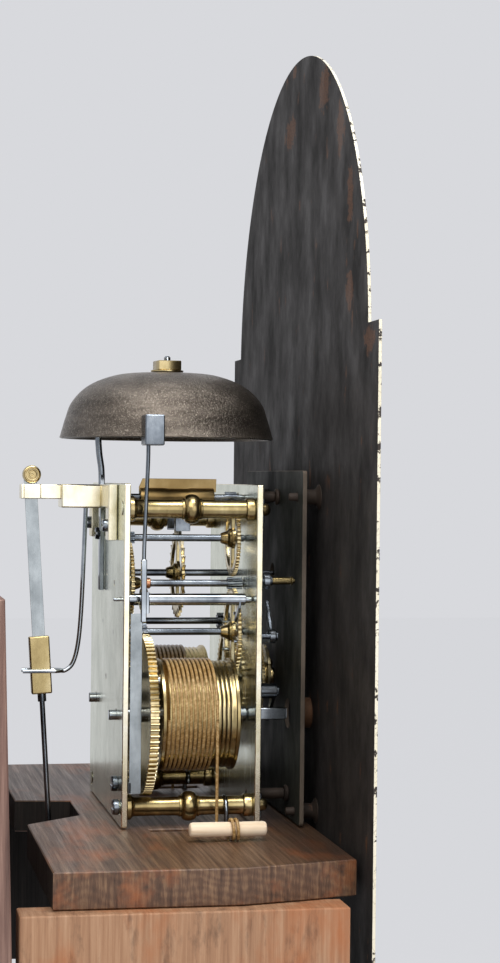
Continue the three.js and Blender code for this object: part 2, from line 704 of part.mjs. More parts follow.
// A sheet that beats the air, sprung on its arbor
function flyVane() {
  const x0 = FLY_X - FLY_SHEET / 2;
  const g = (side) => [
    [-11, side * 2], [-14.5, side * FLY_SPAN], [-49, side * FLY_SPAN], [-48.4, side * 2],
  ].map(([y, z]) => [y, FLY_Z + z]);
  const wing = (side) => {
    const shape = new THREE.Shape(g(side).map(([y, z]) => new THREE.Vector2(y, z)));
    const geometry = new THREE.ExtrudeGeometry(shape, { depth: FLY_SHEET, bevelEnabled: false });
    geometry.applyMatrix4(new THREE.Matrix4().set(0, 0, 1, 0, 1, 0, 0, 0, 0, 1, 0, 0, 0, 0, 0, 1));
    return solid(geometry.translate(x0, 0, 0));
  };
  const sleeve = bar(FLY_X, FLY_Z, COLLET + FIT + 1.1, -12, -47.5, 12);
  return cut(join(wing(1), wing(-1), sleeve), bar(FLY_X, FLY_Z, COLLET + FIT, -10, -50, 12));
}

// Going train
const CANNON_PIVOT = 1.9;
const SECONDS_PIVOT = 1.1;
const SECONDS_END = DIAL_FRONT - 2.6;
const HOOP_PIVOT = 1.5;
const GATHER_FRONT = FRONT_OUTER - 5.4;
const CANNON_REAR = FRONT_OUTER - 0.9;
const CANNON_END = DIAL_FRONT - 8.2;
const CANNON_RADIUS = 2.3;
const MOTION_THICK = 1.5;
const HOUR_REAR = FRONT_OUTER - 9;
const TAIL_REAR = HOUR_REAR - MOTION_THICK - 0.7;
const SNAIL_REAR = TAIL_REAR - 1.5 - 0.7;
const MINUTE_X = 20.3;
const MINUTE_Z = 59;

const MOTION = meshed(MOTION_TEETH, MOTION_TEETH, gap(0, CENTRE_Z, MINUTE_X, MINUTE_Z));
const HOUR = meshed(HOUR_TEETH, MINUTE_LEAVES, gap(0, CENTRE_Z, MINUTE_X, MINUTE_Z));

function makeGoingTrain() {
  const centre = [0, CENTRE_Z];
  const third = [THIRD_X, THIRD_Z];
  const escape = [0, ESCAPE_Z];
  const great = [BARREL_X, BARREL_Z];
  const cannon = join(
    bar(...centre, CANNON_RADIUS, CANNON_REAR, CANNON_END, 10),
    toothed(...centre, MOTION_TEETH, MOTION.pitch, MOTION.module, CANNON_REAR, CANNON_REAR - MOTION_THICK,
      meshAngle(...centre, MINUTE_X, MINUTE_Z)));
  piece("centre_wheel_arbor", "steel", join(
    arbor(...centre, GOING_LEAVES, GOING_GREAT, GREAT_REAR + LEAF_SIDE, GREAT_REAR - GREAT_THICK - 1.2, great,
      CENTRE_REAR, { front: CANNON_REAR - 1, frontPivot: CANNON_PIVOT, thick: 1.6 }), cannon));
  piece("centre_wheel", "brass", crossedWheel(...centre, CENTRE_TEETH, CENTRE.pitch, CENTRE.module,
    CENTRE_REAR, BORE, meshAngle(...centre, ...third), 1.6));
  piece("third_wheel_arbor", "steel", arbor(...third, THIRD_LEAVES, CENTRE, CENTRE_REAR + LEAF_SIDE,
    FRONT_INNER + SHAKE, centre, THIRD_REAR));
  piece("third_wheel", "brass", crossedWheel(...third, THIRD_TEETH, THIRD.pitch, THIRD.module,
    THIRD_REAR, BORE, meshAngle(...third, ...escape), 1.6));
  piece("escape_wheel_arbor", "steel", join(arbor(...escape, ESCAPE_LEAVES, THIRD, BACK_INNER - SHAKE,
    THIRD_REAR - WHEEL_THICK - 1.4, third, ESCAPE_REAR,
    { front: SECONDS_END, frontPivot: SECONDS_PIVOT, thick: 1.6 })));
  piece("escape_wheel", "brass", escapeWheel());
}

function escapeWheel() {
  const front = ESCAPE_REAR - 1.6;
  const points = [];
  for (let i = 0; i < ESCAPE_TEETH; i++) {
    const a = Math.PI / 2 + ((i + 0.5) / ESCAPE_TEETH) * 2 * Math.PI;
    const b = a + (0.62 / ESCAPE_TEETH) * 2 * Math.PI;
    points.push([ESCAPE_RADIUS * Math.cos(a), ESCAPE_Z + ESCAPE_RADIUS * Math.sin(a)]);
    points.push([(ESCAPE_RADIUS - 3.4) * Math.cos(b), ESCAPE_Z + (ESCAPE_RADIUS - 3.4) * Math.sin(b)]);
  }
  const body = sheet(points, ESCAPE_REAR, front);
  return cut(body, crossings(0, ESCAPE_Z, 6, ESCAPE_RADIUS - 6, 2, ESCAPE_REAR, front),
    bar(0, ESCAPE_Z, BORE, ESCAPE_REAR + 1, front - 1, 8));
}

// Pallets, crutch and pendulum
const CRUTCH_HUB = 3.4;
const CRUTCH_REAR = 13;
const CRUTCH_FRONT = 8.6;
const PALLET_REAR = -31.4;
const PALLET_FRONT = -38.8;
const PALLET_REACH = 13.6;
const COCK_BEARING = 17.2;

function pallets() {
  const shaft = stepped(0, PALLET_Z, [
    [COCK_BEARING + 4, COCK_BEARING, PIVOT],
    [COCK_BEARING, FRONT_INNER + SHAKE, 1.8],
    [FRONT_INNER + SHAKE, FRONT_OUTER - 0.6, PIVOT],
  ], 8);
  const arc = [];
  for (let i = 0; i <= 6; i++) {
    const t = -1 + i / 3;
    arc.push([t * PALLET_REACH, PALLET_Z + 3.6 - 6.4 * t * t - (Math.abs(t) === 1 ? 0.6 : 0)]);
  }
  const tip = ESCAPE_Z + Math.sqrt(Math.pow(ESCAPE_RADIUS + 1.6, 2) - Math.pow(PALLET_REACH, 2));
  const under = [
    [PALLET_REACH, tip + 1.4], [PALLET_REACH - 2.6, tip + 2.2], [PALLET_REACH - 4.4, PALLET_Z - 5.4],
    [2.6, PALLET_Z - 3], [-2.6, PALLET_Z - 3], [-PALLET_REACH + 4.4, PALLET_Z - 5.4],
    [-PALLET_REACH + 2.6, tip + 2.2], [-PALLET_REACH, tip + 1.4],
  ];
  return join(shaft, sheet([...arc, ...under], PALLET_REAR, PALLET_FRONT));
}

const LEAN = Math.tan(THREE.MathUtils.degToRad(PENDULUM_LEAN));

function pendulumY(z) {
  return PENDULUM_Y + (z - PALLET_Z) * LEAN;
}

const FORK_Z = 67.4;
const FORK_RADIUS = 1;
const FORK_HALF = BLOCK_THICK / 2 + FIT + FORK_RADIUS + 0.2;

// A bent wire with two tines, one each side of the pendulum's block
function crutch() {
  const wire = tube([
    [0, 10.8, PALLET_Z - 2], [0, 11.6, 122], [0, 12.6, 96], [0, 14, 80], [0, 16.4, 71], [0, 20, FORK_Z],
    [0, 22.6, FORK_Z],
  ], 1.1, 8, 6);
  const rear = pendulumY(FORK_Z) + BLOCK_WIDTH / 2 + 4;
  const tine = (s) => tube([
    [0, 21.4, FORK_Z], [s * FORK_HALF * 0.55, 22.6, FORK_Z], [s * FORK_HALF, 24.6, FORK_Z],
    [s * FORK_HALF, 28, FORK_Z], [s * FORK_HALF, rear, FORK_Z],
  ], FORK_RADIUS, 4, 6);
  const hub = bar(0, PALLET_Z, CRUTCH_HUB, CRUTCH_REAR, CRUTCH_FRONT, 12);
  const bore = bar(0, PALLET_Z, 1.8 + FIT, CRUTCH_REAR + 1, CRUTCH_FRONT - 1, 8);
  return join(cut(join(hub, wire), bore), tine(-1), tine(1));
}

// Slants a solid that was drawn upright on the pendulum's own line.
function lean(body) {
  const upright = body.translate([0, -PENDULUM_Y, -PALLET_Z]);
  return upright.rotate([-PENDULUM_LEAN, 0, 0]).translate([0, PENDULUM_Y, PALLET_Z]);
}

const TONGUE_TOP = 158;
const TONGUE_LOW = 151;
const CLAMP_RADIUS = 4.4;

function makePendulum() {
  const y = PENDULUM_Y;
  const w = SPRING_WIDTH / 2;
  const t = SPRING_THICK / 2;
  const top = TONGUE_TOP + FIT + CLAMP_RADIUS;
  const low = PALLET_Z - SPRING_LENGTH;
  const clamp = barX(y, top, CLAMP_RADIUS, -3.4, 3.4, 16);
  const play = t + FIT + (top + 1 - PALLET_Z) * Math.sin(SWING);
  const slit = box(-play, play, y - w - FIT, y + w + FIT, TONGUE_TOP - 1, top + 1.5);
  piece("suspension_clamp", "brass", cut(clamp, slit));
  piece("suspension_spring", "brightSteel", join(
    box(-t, t, y - w, y + w, PALLET_Z - 0.6, top + 1),
    lean(box(-t, t, y - w, y + w, low - 8, PALLET_Z))));
  const cheek = box(-BLOCK_THICK / 2, BLOCK_THICK / 2, y - BLOCK_WIDTH / 2, y + BLOCK_WIDTH / 2,
    low - BLOCK_HEIGHT, low);
  const seat = box(-t - FIT, t + FIT, y - w - FIT, y + w + FIT, low - 8 - FIT, low + 1);
  const socket = barZ(0, y, ROD_RADIUS + FIT, low - BLOCK_HEIGHT - 1, low - BLOCK_HEIGHT + 12, 10);
  piece("pendulum_block", "brass", lean(cut(cheek, seat, socket)));
  const rod = barZ(0, y, ROD_RADIUS, ROD_END, low - BLOCK_HEIGHT + 12 - FIT, 10);
  const hook = tube([
    [0, y, ROD_END + 2], [0, y, ROD_END - 2], [0, y + 3, ROD_END - 7], [0, y, ROD_END - 11],
    [0, y - 3, ROD_END - 8.5],
  ], ROD_RADIUS, 9, 6);
  piece("pendulum_rod", "steel", lean(join(rod, hook)));
  piece("pallet_arbor", "steel", pallets());
  piece("crutch", "steel", crutch());
}

const COCK_HALF = 39;
const COCK_THICK = 4.5;
const COCK_TOP = PLATE_HEIGHT - 0.3;
const COCK_LOW = COCK_TOP - 26.7;

// Back cock: two feet on the plate, a hollow block for the crutch and a slit tongue for the spring
function makeBackCock() {
  const wing = box(-COCK_HALF, COCK_HALF, FIT, COCK_THICK, COCK_TOP - 11.7, COCK_TOP);
  const foot = (s) => box(s * (COCK_HALF - 11), s * COCK_HALF, FIT, COCK_THICK, COCK_LOW, COCK_TOP - 11.2);
  const feet = [-1, 1].map(foot);
  const block = box(-8.5, 8.5, 4, 23.5, 146.6, 158.4);
  const tongue = box(-5, 5, 23, 42.8, TONGUE_LOW, TONGUE_TOP);
  const pocket = box(-4.6, 4.6, 5.6, 16, 140, PALLET_Z + CRUTCH_HUB + FIT + 0.4);
  const arch = box(-8, 8, -1, 6, 140, PALLET_Z + CRUTCH_HUB + FIT);
  const bearing = bar(0, PALLET_Z, PIVOT + PIVOT_PLAY, 30, 10, 6);
  const shoulder = bar(0, PALLET_Z, 1.8 + PIVOT_PLAY, COCK_BEARING + 0.4, 10, 8);
  const t = SPRING_THICK / 2 + 0.9;
  const slit = box(-t, t, PENDULUM_Y - SPRING_WIDTH / 2 - 1, PENDULUM_Y + SPRING_WIDTH / 2 + 1, 145, 160);
  const channel = box(STAND_X - 3.4, STAND_X + 3.4, -1, 3.4, 140, 165);
  const rodWay = box(STAND_X - 2.4, STAND_X + 2.4, 3, 6, 154, 165);
  const heads = [-1, 1].map((s) => bar(s * (COCK_HALF - 5.5), COCK_LOW + 7, 3, COCK_THICK + 2.3, 4, 8));
  piece("back_cock", "brass", join(
    cut(join(wing, feet, block, tongue), pocket, arch, bearing, shoulder, slit, channel, rodWay), heads));
}

// Bell, its stand and its nut
function makeBell() {
  const outer = BELL_PROFILE.map(([r, h]) => [r, BELL_RIM_Z + h]);
  const inner = BELL_PROFILE.filter((_, i) => i % 2 === 0 || i > 5)
    .map(([r, h]) => [r - BELL_WALL, BELL_RIM_Z + Math.max(0, h - BELL_WALL)]);
  inner[0] = [BELL_PROFILE[0][0] - BELL_WALL - 1, BELL_RIM_Z];
  const bore = STUD_RADIUS + FIT;
  const top = outer[outer.length - 1][1];
  const loop = [...outer, [bore, top + 0.2], [bore, top - BELL_WALL], ...inner.reverse(), outer[0]];
  const g = new THREE.LatheGeometry(loop.map(([r, z]) => new THREE.Vector2(r, z)), 18);
  piece("bell", "bellBronze", solid(g.rotateX(Math.PI / 2).scale(1, 1, -1).scale(1, 1, -1)
    .translate(0, BELL_Y, 0)));
  const seat = top + 0.2 + FIT;
  const washer = barZ(0, BELL_Y, 8, seat, seat + 1, 16);
  const nut = barZ(0, BELL_Y, 7.2, seat + 0.9, seat + 5.6, 4);
  const way = barZ(0, BELL_Y, STUD_RADIUS + FIT, seat - 1, seat + 9, 8);
  piece("bell_nut", "brass", cut(join(washer, nut), way));
  makeBellStand(top - BELL_WALL - FIT, seat + 8);
}

function makeBellStand(underBell, studTop) {
  const strip = box(STAND_X - 2.8, STAND_X + 2.8, FIT, 2.7, 106, 163);
  const fork = box(STAND_X - 0.7, STAND_X + 0.7, -1, 4, 100, 113);
  const head = bar(STAND_X, 134, 3, 4.6, 2, 8);
  const rod = tube([
    [STAND_X, 1.6, COCK_TOP], [STAND_X, 1.9, COCK_TOP + 7.3], [STAND_X - 0.5, 3.4, BELL_RIM_Z - 5.6],
    [STAND_X - 2, 3.4, BELL_RIM_Z + 3.4],
    [STAND_X - 5, -2.4, BELL_RIM_Z + 11.4], [5, -12, BELL_RIM_Z + 17.4], [1.4, -22, BELL_RIM_Z + 20.8],
    [0, BELL_Y, BELL_RIM_Z + 21.8],
  ], 1.6, 10, 6);
  const shoulder = barZ(0, BELL_Y, 4, BELL_RIM_Z + 20.2, underBell, 10);
  const stud = barZ(0, BELL_Y, STUD_RADIUS, underBell - 2, studTop, 8);
  piece("bell_stand", "steel", join(cut(strip, fork), head, rod, shoulder, stud));
}

// Hammer
const SPRING_SCREW = 2;
const SPRING_SCREW_X = HAMMER_X + 5;
const SPRING_SCREW_Z = 18.7;

function makeHammer() {
  const x = HAMMER_X;
  const z = HAMMER_Z;
  const shaft = stepped(x, z, [
    [3.4, BACK_INNER - SHAKE, PIVOT],
    [BACK_INNER - SHAKE, FRONT_INNER + 3.4, 2.8],
    [FRONT_INNER + 3.4, FRONT_INNER + SHAKE, 1.7],
    [FRONT_INNER + SHAKE, FRONT_OUTER - 0.6, PIVOT],
  ], 10);
  const tail = sheet([
    [x - 1, z - 2.4], [x + 8.6, z - 9.4], [x + 7.4, z - 11.2], [x - 2.4, z - 4],
  ], PIN_REAR + 1.6, PIN_REAR + 0.4);
  piece("hammer_arbor", "brightSteel", join(shaft, tail));
  const y = HAMMER_Y;
  const hub = bar(x, z, 5.2, y + 1.6, y - 1.6, 12);
  const bore = bar(x, z, 2.8 + FIT, y + 3, y - 3, 10);
  const stem = box(HAMMER_STEM_X - 1, x - 4, y + 1.3, y - 1.3, z - 6, z + 4);
  const blade = box(HAMMER_STEM_X - 1.3, HAMMER_STEM_X + 1.3, y + 1.3, y - 1.3, z - 10, z + 19);
  const wire = barZ(HAMMER_STEM_X, y, 0.95, z + 18, BELL_RIM_Z - 0.6, 8);
  const head = box(HAMMER_STEM_X - 7.4, HAMMER_STEM_X + 6.6, y + 2.4, y - 6.6,
    BELL_RIM_Z - 4, BELL_RIM_Z + 10.2);
  piece("hammer", "steel", join(cut(join(hub, stem), bore), blade, wire, head));
  const leaf = box(HAMMER_STEM_X - 0.7, HAMMER_STEM_X + 0.1, -3.4, -8.9, SPRING_SCREW_Z - 2.7, HAMMER_Z - 6);
  const foot = box(HAMMER_STEM_X - 0.7, SPRING_SCREW_X + 3.5, BACK_INNER - FIT, BACK_INNER - FIT - 1.4,
    SPRING_SCREW_Z - 2.7, SPRING_SCREW_Z + 2.7);
  const screw = join(bar(SPRING_SCREW_X, SPRING_SCREW_Z, SPRING_SCREW, 1, BACK_INNER - FIT - 1, 12),
    bar(SPRING_SCREW_X, SPRING_SCREW_Z, 3.6, 3, FIT, 14));
  piece("hammer_spring", "brightSteel", join(leaf, foot, screw));
}

// Striking work and motion work before the front plate
const RACK_X = -34;
const RACK_Z = 60;
const HOOK_X = -PLATE_WIDTH / 2 + 6;
const HOOK_Z = 114;
const LIFT_X = -PLATE_WIDTH / 2 + 6;
const LIFT_Z = 88;
const STUD_FOOT = 1.4;
const RACK_RADIUS = 44.4;
const RACK_TEETH = 14;
const LEVER = 1.5;
const RACK_REAR = FRONT_OUTER - 1.6;
const LIFT_REAR = RACK_REAR - LEVER - 1.4;

function gatheringPallet() {
  return sheet([
    [HOOP_X - 2.6, HOOP_Z + 1.5], [HOOP_X - 1, HOOP_Z + 5], [HOOP_X + 1, HOOP_Z + 5],
    [HOOP_X + 2.6, HOOP_Z + 1.5], [HOOP_X + 2.2, HOOP_Z - 2], [HOOP_X - 2.2, HOOP_Z - 2],
  ], RACK_REAR, RACK_REAR - 2.4);
}

// Each lever turns on its own stud, which is riveted in the front plate.
function leverOn(x, z, hubRadius, rear, front, ...arms) {
  return join(bar(x, z, hubRadius, rear, front, 14), ...arms);
}

function link(x0, z0, x1, z1, w0, w1, rear, front) {
  const a = Math.atan2(z1 - z0, x1 - x0) + Math.PI / 2;
  const c = Math.cos(a);
  const s = Math.sin(a);
  return sheet([
    [x0 - (w0 / 2) * c, z0 - (w0 / 2) * s], [x1 - (w1 / 2) * c, z1 - (w1 / 2) * s],
    [x1 + (w1 / 2) * c, z1 + (w1 / 2) * s], [x0 + (w0 / 2) * c, z0 + (w0 / 2) * s],
  ], rear, front);
}

function rack() {
  const rear = RACK_REAR;
  const front = rear - LEVER;
  const from = THREE.MathUtils.degToRad(56);
  const pitch = THREE.MathUtils.degToRad(2.45);
  const points = [];
  for (let i = 0; i < RACK_TEETH; i++) {
    const root = from + i * pitch;
    const tip = root + pitch * 0.8;
    const low = RACK_RADIUS - 1.5;
    points.push([RACK_X + low * Math.cos(root), RACK_Z + low * Math.sin(root)]);
    points.push([RACK_X + RACK_RADIUS * Math.cos(tip), RACK_Z + RACK_RADIUS * Math.sin(tip)]);
  }
  for (let i = 8; i >= 0; i--) {
    const a = from + (i / 8) * RACK_TEETH * pitch;
    points.push([RACK_X + (RACK_RADIUS - 5.4) * Math.cos(a), RACK_Z + (RACK_RADIUS - 5.4) * Math.sin(a)]);
  }
  const arm = link(RACK_X, RACK_Z, RACK_X + 11.5, RACK_Z + 39, 5, 3, rear, front);
  const tail = link(RACK_X, RACK_Z, RACK_X + 15.4, RACK_Z - 15, 4.6, 2.2, TAIL_REAR, TAIL_REAR - LEVER);
  return leverOn(RACK_X, RACK_Z, 3.6, rear, TAIL_REAR - LEVER, sheet(points, rear, front), arm, tail);
}

function rackHook() {
  const rear = RACK_REAR;
  const front = rear - LEVER;
  const tip = HOOK_X + 20;
  const arm = link(HOOK_X, HOOK_Z, tip, HOOK_Z - 5.4, 4.4, 2.6, rear, front);
  const beak = link(tip - 1.2, HOOK_Z - 5.2, tip - 1.2, HOOK_Z - 8.4, 2.2, 1, rear, front);
  return leverOn(HOOK_X, HOOK_Z, 3.4, rear, front - 1.2, arm, beak);
}

function liftingPiece() {
  const rear = LIFT_REAR;
  const front = rear - LEVER;
  const arm = link(LIFT_X, LIFT_Z, LIFT_X + 70, LIFT_Z - 11, 4.4, 2.4, rear, front);
  const upright = link(LIFT_X, LIFT_Z, LIFT_X + 10, LIFT_Z + 15, 4.4, 3, rear, front);
  return leverOn(LIFT_X, LIFT_Z, 3.4, rear, front - 1.2, arm, upright);
}

function makeFrontWork() {
  const bore = (x, z) => bar(x, z, STUD_FOOT + FIT, FRONT_OUTER, SNAIL_REAR - 3, 12);
  piece("rack", "steel", cut(rack(), bore(RACK_X, RACK_Z)));
  piece("rack_hook", "steel", cut(rackHook(), bore(HOOK_X, HOOK_Z)));
  piece("lifting_piece", "steel", cut(liftingPiece(), bore(LIFT_X, LIFT_Z)));
  makeMotionWork();
}

// A stud riveted in the plate, with a pinned head that keeps its lever or wheel on.
function stud(x, z, headRear) {
  return stepped(x, z, [
    [FRONT_INNER - 0.5, FRONT_OUTER, 2.6],
    [FRONT_OUTER, headRear, STUD_FOOT],
    [headRear, headRear - 0.9, 2.4],
  ], 6);
}

function leverStuds() {
  return [
    stud(RACK_X, RACK_Z, TAIL_REAR - LEVER - FIT),
    stud(HOOK_X, HOOK_Z, RACK_REAR - LEVER - 1.2 - FIT),
    stud(LIFT_X, LIFT_Z, LIFT_REAR - LEVER - 1.2 - FIT),
  ];
}

function snailPoints() {
  const points = [];
  for (let i = 0; i < 12; i++) {
    const r = 17 - i;
    for (const t of [0.02, 0.98]) {
      const a = ((i + t) / 12) * 2 * Math.PI;
      points.push([r * Math.cos(a), CENTRE_Z + r * Math.sin(a)]);
    }
  }
  return points;
}

const HOUR_BORE = CANNON_RADIUS + FIT;
const HOUR_PIPE = HOUR_BORE + 1.1;
const HOUR_PIPE_END = DIAL_FRONT - 5;

function makeMotionWork() {
  const phase = meshAngle(MINUTE_X, MINUTE_Z, 0, CENTRE_Z);
  const wheel = toothed(MINUTE_X, MINUTE_Z, MOTION_TEETH, MOTION.pitch, MOTION.module, CANNON_REAR,
    CANNON_REAR - MOTION_THICK, phase + Math.PI / MOTION_TEETH);
  const leaves = pinion(MINUTE_X, MINUTE_Z, MINUTE_LEAVES, HOUR.mate, HOUR.module, HOUR_REAR + 1.5,
    HOUR_REAR - MOTION_THICK - 1, phase);
  const shaft = stepped(MINUTE_X, MINUTE_Z, [
    [FRONT_INNER, FRONT_OUTER - SHAKE, PIVOT],
    [FRONT_OUTER - SHAKE, HOUR_REAR + 1.5, 1.6],
    [HOUR_REAR + 1.5, FALSE_REAR + SHAKE, HOUR.mate - 1.15 * HOUR.module],
    [FALSE_REAR + SHAKE, FALSE_FRONT, PIVOT - 0.2],
  ], 6);
  piece("minute_wheel", "brass", join(wheel, leaves, shaft));
  const hour = join(
    toothed(0, CENTRE_Z, HOUR_TEETH, HOUR.pitch, HOUR.module, HOUR_REAR, HOUR_REAR - MOTION_THICK,
      meshAngle(0, CENTRE_Z, MINUTE_X, MINUTE_Z)),
    bar(0, CENTRE_Z, HOUR_PIPE, HOUR_REAR + 1.4, HOUR_PIPE_END, 12),
    sheet(snailPoints(), SNAIL_REAR, SNAIL_REAR - 1.6));
  piece("hour_wheel", "brass", cut(hour, bar(0, CENTRE_Z, HOUR_BORE, HOUR_REAR + 4, HOUR_PIPE_END - 4, 10)));
  makeHands();
}

// Hands
const HAND_THICK = 0.9;

function hand(z, length, tail, width, boss, hole, rear) {
  const half = [[0.5, 0], [0.5, 0.55], [1.1, 0.66], [0.35, 0.8]].map(([w, l]) => [w * width, z + l * length]);
  const mirrored = half.map(([w, l]) => [-w, l]);
  const blade = sheet([
    ...mirrored, [0, z + length], ...half.reverse(), [width * 0.4, z - tail], [-width * 0.4, z - tail],
  ], rear, rear - HAND_THICK);
  const disc = bar(0, z, boss, rear, rear - HAND_THICK, 10);
  return cut(join(blade, disc), bar(0, z, hole, rear + 1, rear - HAND_THICK - 1, 8));
}

function makeHands() {
  piece("hour_hand", "handSteel", hand(CENTRE_Z, 84, 7.9, 5, 8, HOUR_PIPE + FIT, DIAL_FRONT - 3.6));
  piece("minute_hand", "handSteel", hand(CENTRE_Z, 124, 7, 3.6, 6, CANNON_RADIUS + FIT, DIAL_FRONT - 6.4));
  piece("seconds_hand", "handSteel", hand(ESCAPE_Z, 22, 7, 1.4, 2.6, SECONDS_PIVOT + FIT, DIAL_FRONT - 1));
}

// False plate and dial
const FALSE_WIDTH = PLATE_WIDTH + 12.2;
const FALSE_HEIGHT = PLATE_HEIGHT + 6.4;
const FALSE_LOW = 0.4;
const FALSE_FOOT_TOP = PLATE_HEIGHT - 6;
const FALSE_FEET = [[-42, 12], [42, 12], [-13, FALSE_FOOT_TOP], [13, FALSE_FOOT_TOP]];
const FALSE_PEG = 1.6;
const DIAL_FOOT_X = FALSE_WIDTH / 2 - 13.1;
const DIAL_FOOT_TOP = FALSE_LOW + FALSE_HEIGHT - 12.4;
const DIAL_FEET = [
  [-DIAL_FOOT_X, DIAL_FOOT_TOP], [DIAL_FOOT_X, DIAL_FOOT_TOP], [-DIAL_FOOT_X, 5.6], [DIAL_FOOT_X, 5.6],
];
const FOOT_PEG = 2.1;

function makeFalsePlate() {
  const half = FALSE_WIDTH / 2;
  const body = box(-half, half, FALSE_REAR, FALSE_FRONT, FALSE_LOW, FALSE_LOW + FALSE_HEIGHT);
  const holes = plateHoles(FALSE_REAR, FALSE_FRONT, [
    [0, CENTRE_Z, HOUR_PIPE + 4], [0, ESCAPE_Z, 5],
    [-BARREL_X, BARREL_Z, WINDING_HOLE], [BARREL_X, BARREL_Z, WINDING_HOLE],
    ...DIAL_FEET.map(([x, z]) => [x, z, FOOT_PEG + FIT]),
    [MINUTE_X, MINUTE_Z, PIVOT - 0.2 + PIVOT_PLAY],
  ]);
  const feet = FALSE_FEET.map(([x, z]) => stepped(x, z, [
    [FRONT_INNER + 0.4, FRONT_OUTER - FIT, FALSE_PEG], [FRONT_OUTER - FIT, FALSE_REAR, 2.6],
  ], 6));
  piece("false_plate", "iron", join(cut(body, holes), feet));
}

function dialOutline() {
  const half = DIAL_WIDTH / 2;
  const low = CENTRE_Z - DIAL_SQUARE / 2;
  const shoulder = low + DIAL_SQUARE;
  const centre = shoulder + ARCH_RISE - ARCH_RADIUS;
  const points = [[-half, low], [half, low], [half, shoulder]];
  const start = Math.asin((shoulder - centre) / ARCH_RADIUS);
  for (let i = 0; i <= 24; i++) {
    const a = start + ((Math.PI - 2 * start) * i) / 24;
    points.push([ARCH_RADIUS * Math.cos(a), centre + ARCH_RADIUS * Math.sin(a)]);
  }
  points.push([-half, shoulder]);
  return points;
}

function makeDial() {
  const holes = plateHoles(DIAL_REAR, DIAL_FRONT, [
    [0, CENTRE_Z, HOUR_PIPE + 1], [0, ESCAPE_Z, 2.4],
    [-BARREL_X, BARREL_Z, WINDING_HOLE], [BARREL_X, BARREL_Z, WINDING_HOLE],
  ]);
  const feet = DIAL_FEET.map(([x, z]) => turned(x, z, [
    [0, FALSE_REAR + 4], [FOOT_PEG - 0.3, FALSE_REAR + 4], [FOOT_PEG, FALSE_FRONT - FIT],
    [3.9, FALSE_FRONT - FIT], [3.6, DIAL_REAR + 1.6], [6, DIAL_REAR], [0, DIAL_REAR - 0.5],
  ], 6));
  piece("dial", "dialPaint", join(cut(sheet(dialOutline(), DIAL_REAR, DIAL_FRONT), holes), feet));
}

makeCase();
makePlates();
makePillars();
makeFalsePlate();
makeDial();
makeBackCock();
makeBell();
makeHammer();
makeBarrels();
makeLines();
makeStrikeTrain();
makeGoingTrain();
makePendulum();
makeFrontWork();

// The part's origin is the middle of its base.
const bounds = new THREE.Box3().setFromObject(group);
const middle = bounds.getCenter(new THREE.Vector3());
group.position.set(-middle.x, -middle.y, -bounds.min.z);
console.log("origin moved by", -middle.x.toFixed(3), -middle.y.toFixed(3), -bounds.min.z.toFixed(3));

export default group;
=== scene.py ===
"""Longcase clock movement with its dial, seatboard and case top: fine forms, finishes, light and camera.

Sizes are in millimetres, in the movement's own frame: X from left to right as seen from the dial, Y from the
dial to the rear with 0 at the back plate's rear face, Z upwards with 0 at the plates' feet.
"""
import logging
import math
from collections.abc import Callable
from dataclasses import dataclass, field
from enum import Enum

import bmesh
import bpy
from mathutils import Matrix, Vector
from mathutils.geometry import tessellate_polygon


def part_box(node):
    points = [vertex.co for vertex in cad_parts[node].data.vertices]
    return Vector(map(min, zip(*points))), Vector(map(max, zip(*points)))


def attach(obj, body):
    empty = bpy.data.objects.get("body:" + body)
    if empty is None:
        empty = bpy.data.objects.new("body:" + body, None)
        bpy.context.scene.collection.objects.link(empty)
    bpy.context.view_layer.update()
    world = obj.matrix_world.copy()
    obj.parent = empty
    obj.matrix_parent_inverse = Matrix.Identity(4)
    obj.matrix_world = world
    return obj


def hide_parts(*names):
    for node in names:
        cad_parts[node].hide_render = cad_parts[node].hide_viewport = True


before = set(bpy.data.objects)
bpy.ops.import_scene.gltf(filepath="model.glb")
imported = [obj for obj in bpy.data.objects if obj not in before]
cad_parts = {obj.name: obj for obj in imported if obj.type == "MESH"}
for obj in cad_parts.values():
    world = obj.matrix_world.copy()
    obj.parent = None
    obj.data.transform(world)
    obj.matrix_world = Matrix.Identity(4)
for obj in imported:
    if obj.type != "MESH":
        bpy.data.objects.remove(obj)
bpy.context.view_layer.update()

LOG = logging.getLogger("clock")
MM = 0.001
SINK_WIDTH, SINK_DEPTH = 2.1, 0.75

Point = tuple[float, float, float]
Flat = tuple[float, float]
Colour = tuple[float, float, float, float]
Obj = bpy.types.Object
Tree = bpy.types.NodeTree
Node = bpy.types.Node
Socket = bpy.types.NodeSocket


def plates_datum() -> Vector:
    """Find the movement frame's origin, at the foot of the back plate's rear face.

    Returns:
        The origin in the row frame, in metres.
    """
    low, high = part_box("back_plate")
    return Vector(((low.x + high.x) / 2, high.y, low.z))


DATUM = plates_datum()


def at(x: float, y: float, z: float) -> Vector:
    """Turn a place in the movement frame, in millimetres, into metres in the row frame."""
    return Vector((x, y, z)) * MM + DATUM


class Axis(Enum):
    """The line that a turned piece or a bar runs along."""

    X = 0
    Y = 1
    Z = 2


def hex_linear(code: str) -> Colour:
    """Turn an sRGB hex colour into Blender's linear colour.

    Args:
        code: Six hex digits after a hash sign.

    Returns:
        Red, green, blue and an alpha of 1.
    """
    parts = [int(code[i : i + 2], 16) / 255 for i in (1, 3, 5)]
    linear = [c / 12.92 if c <= 0.04045 else ((c + 0.055) / 1.055) ** 2.4 for c in parts]
    return (linear[0], linear[1], linear[2], 1.0)


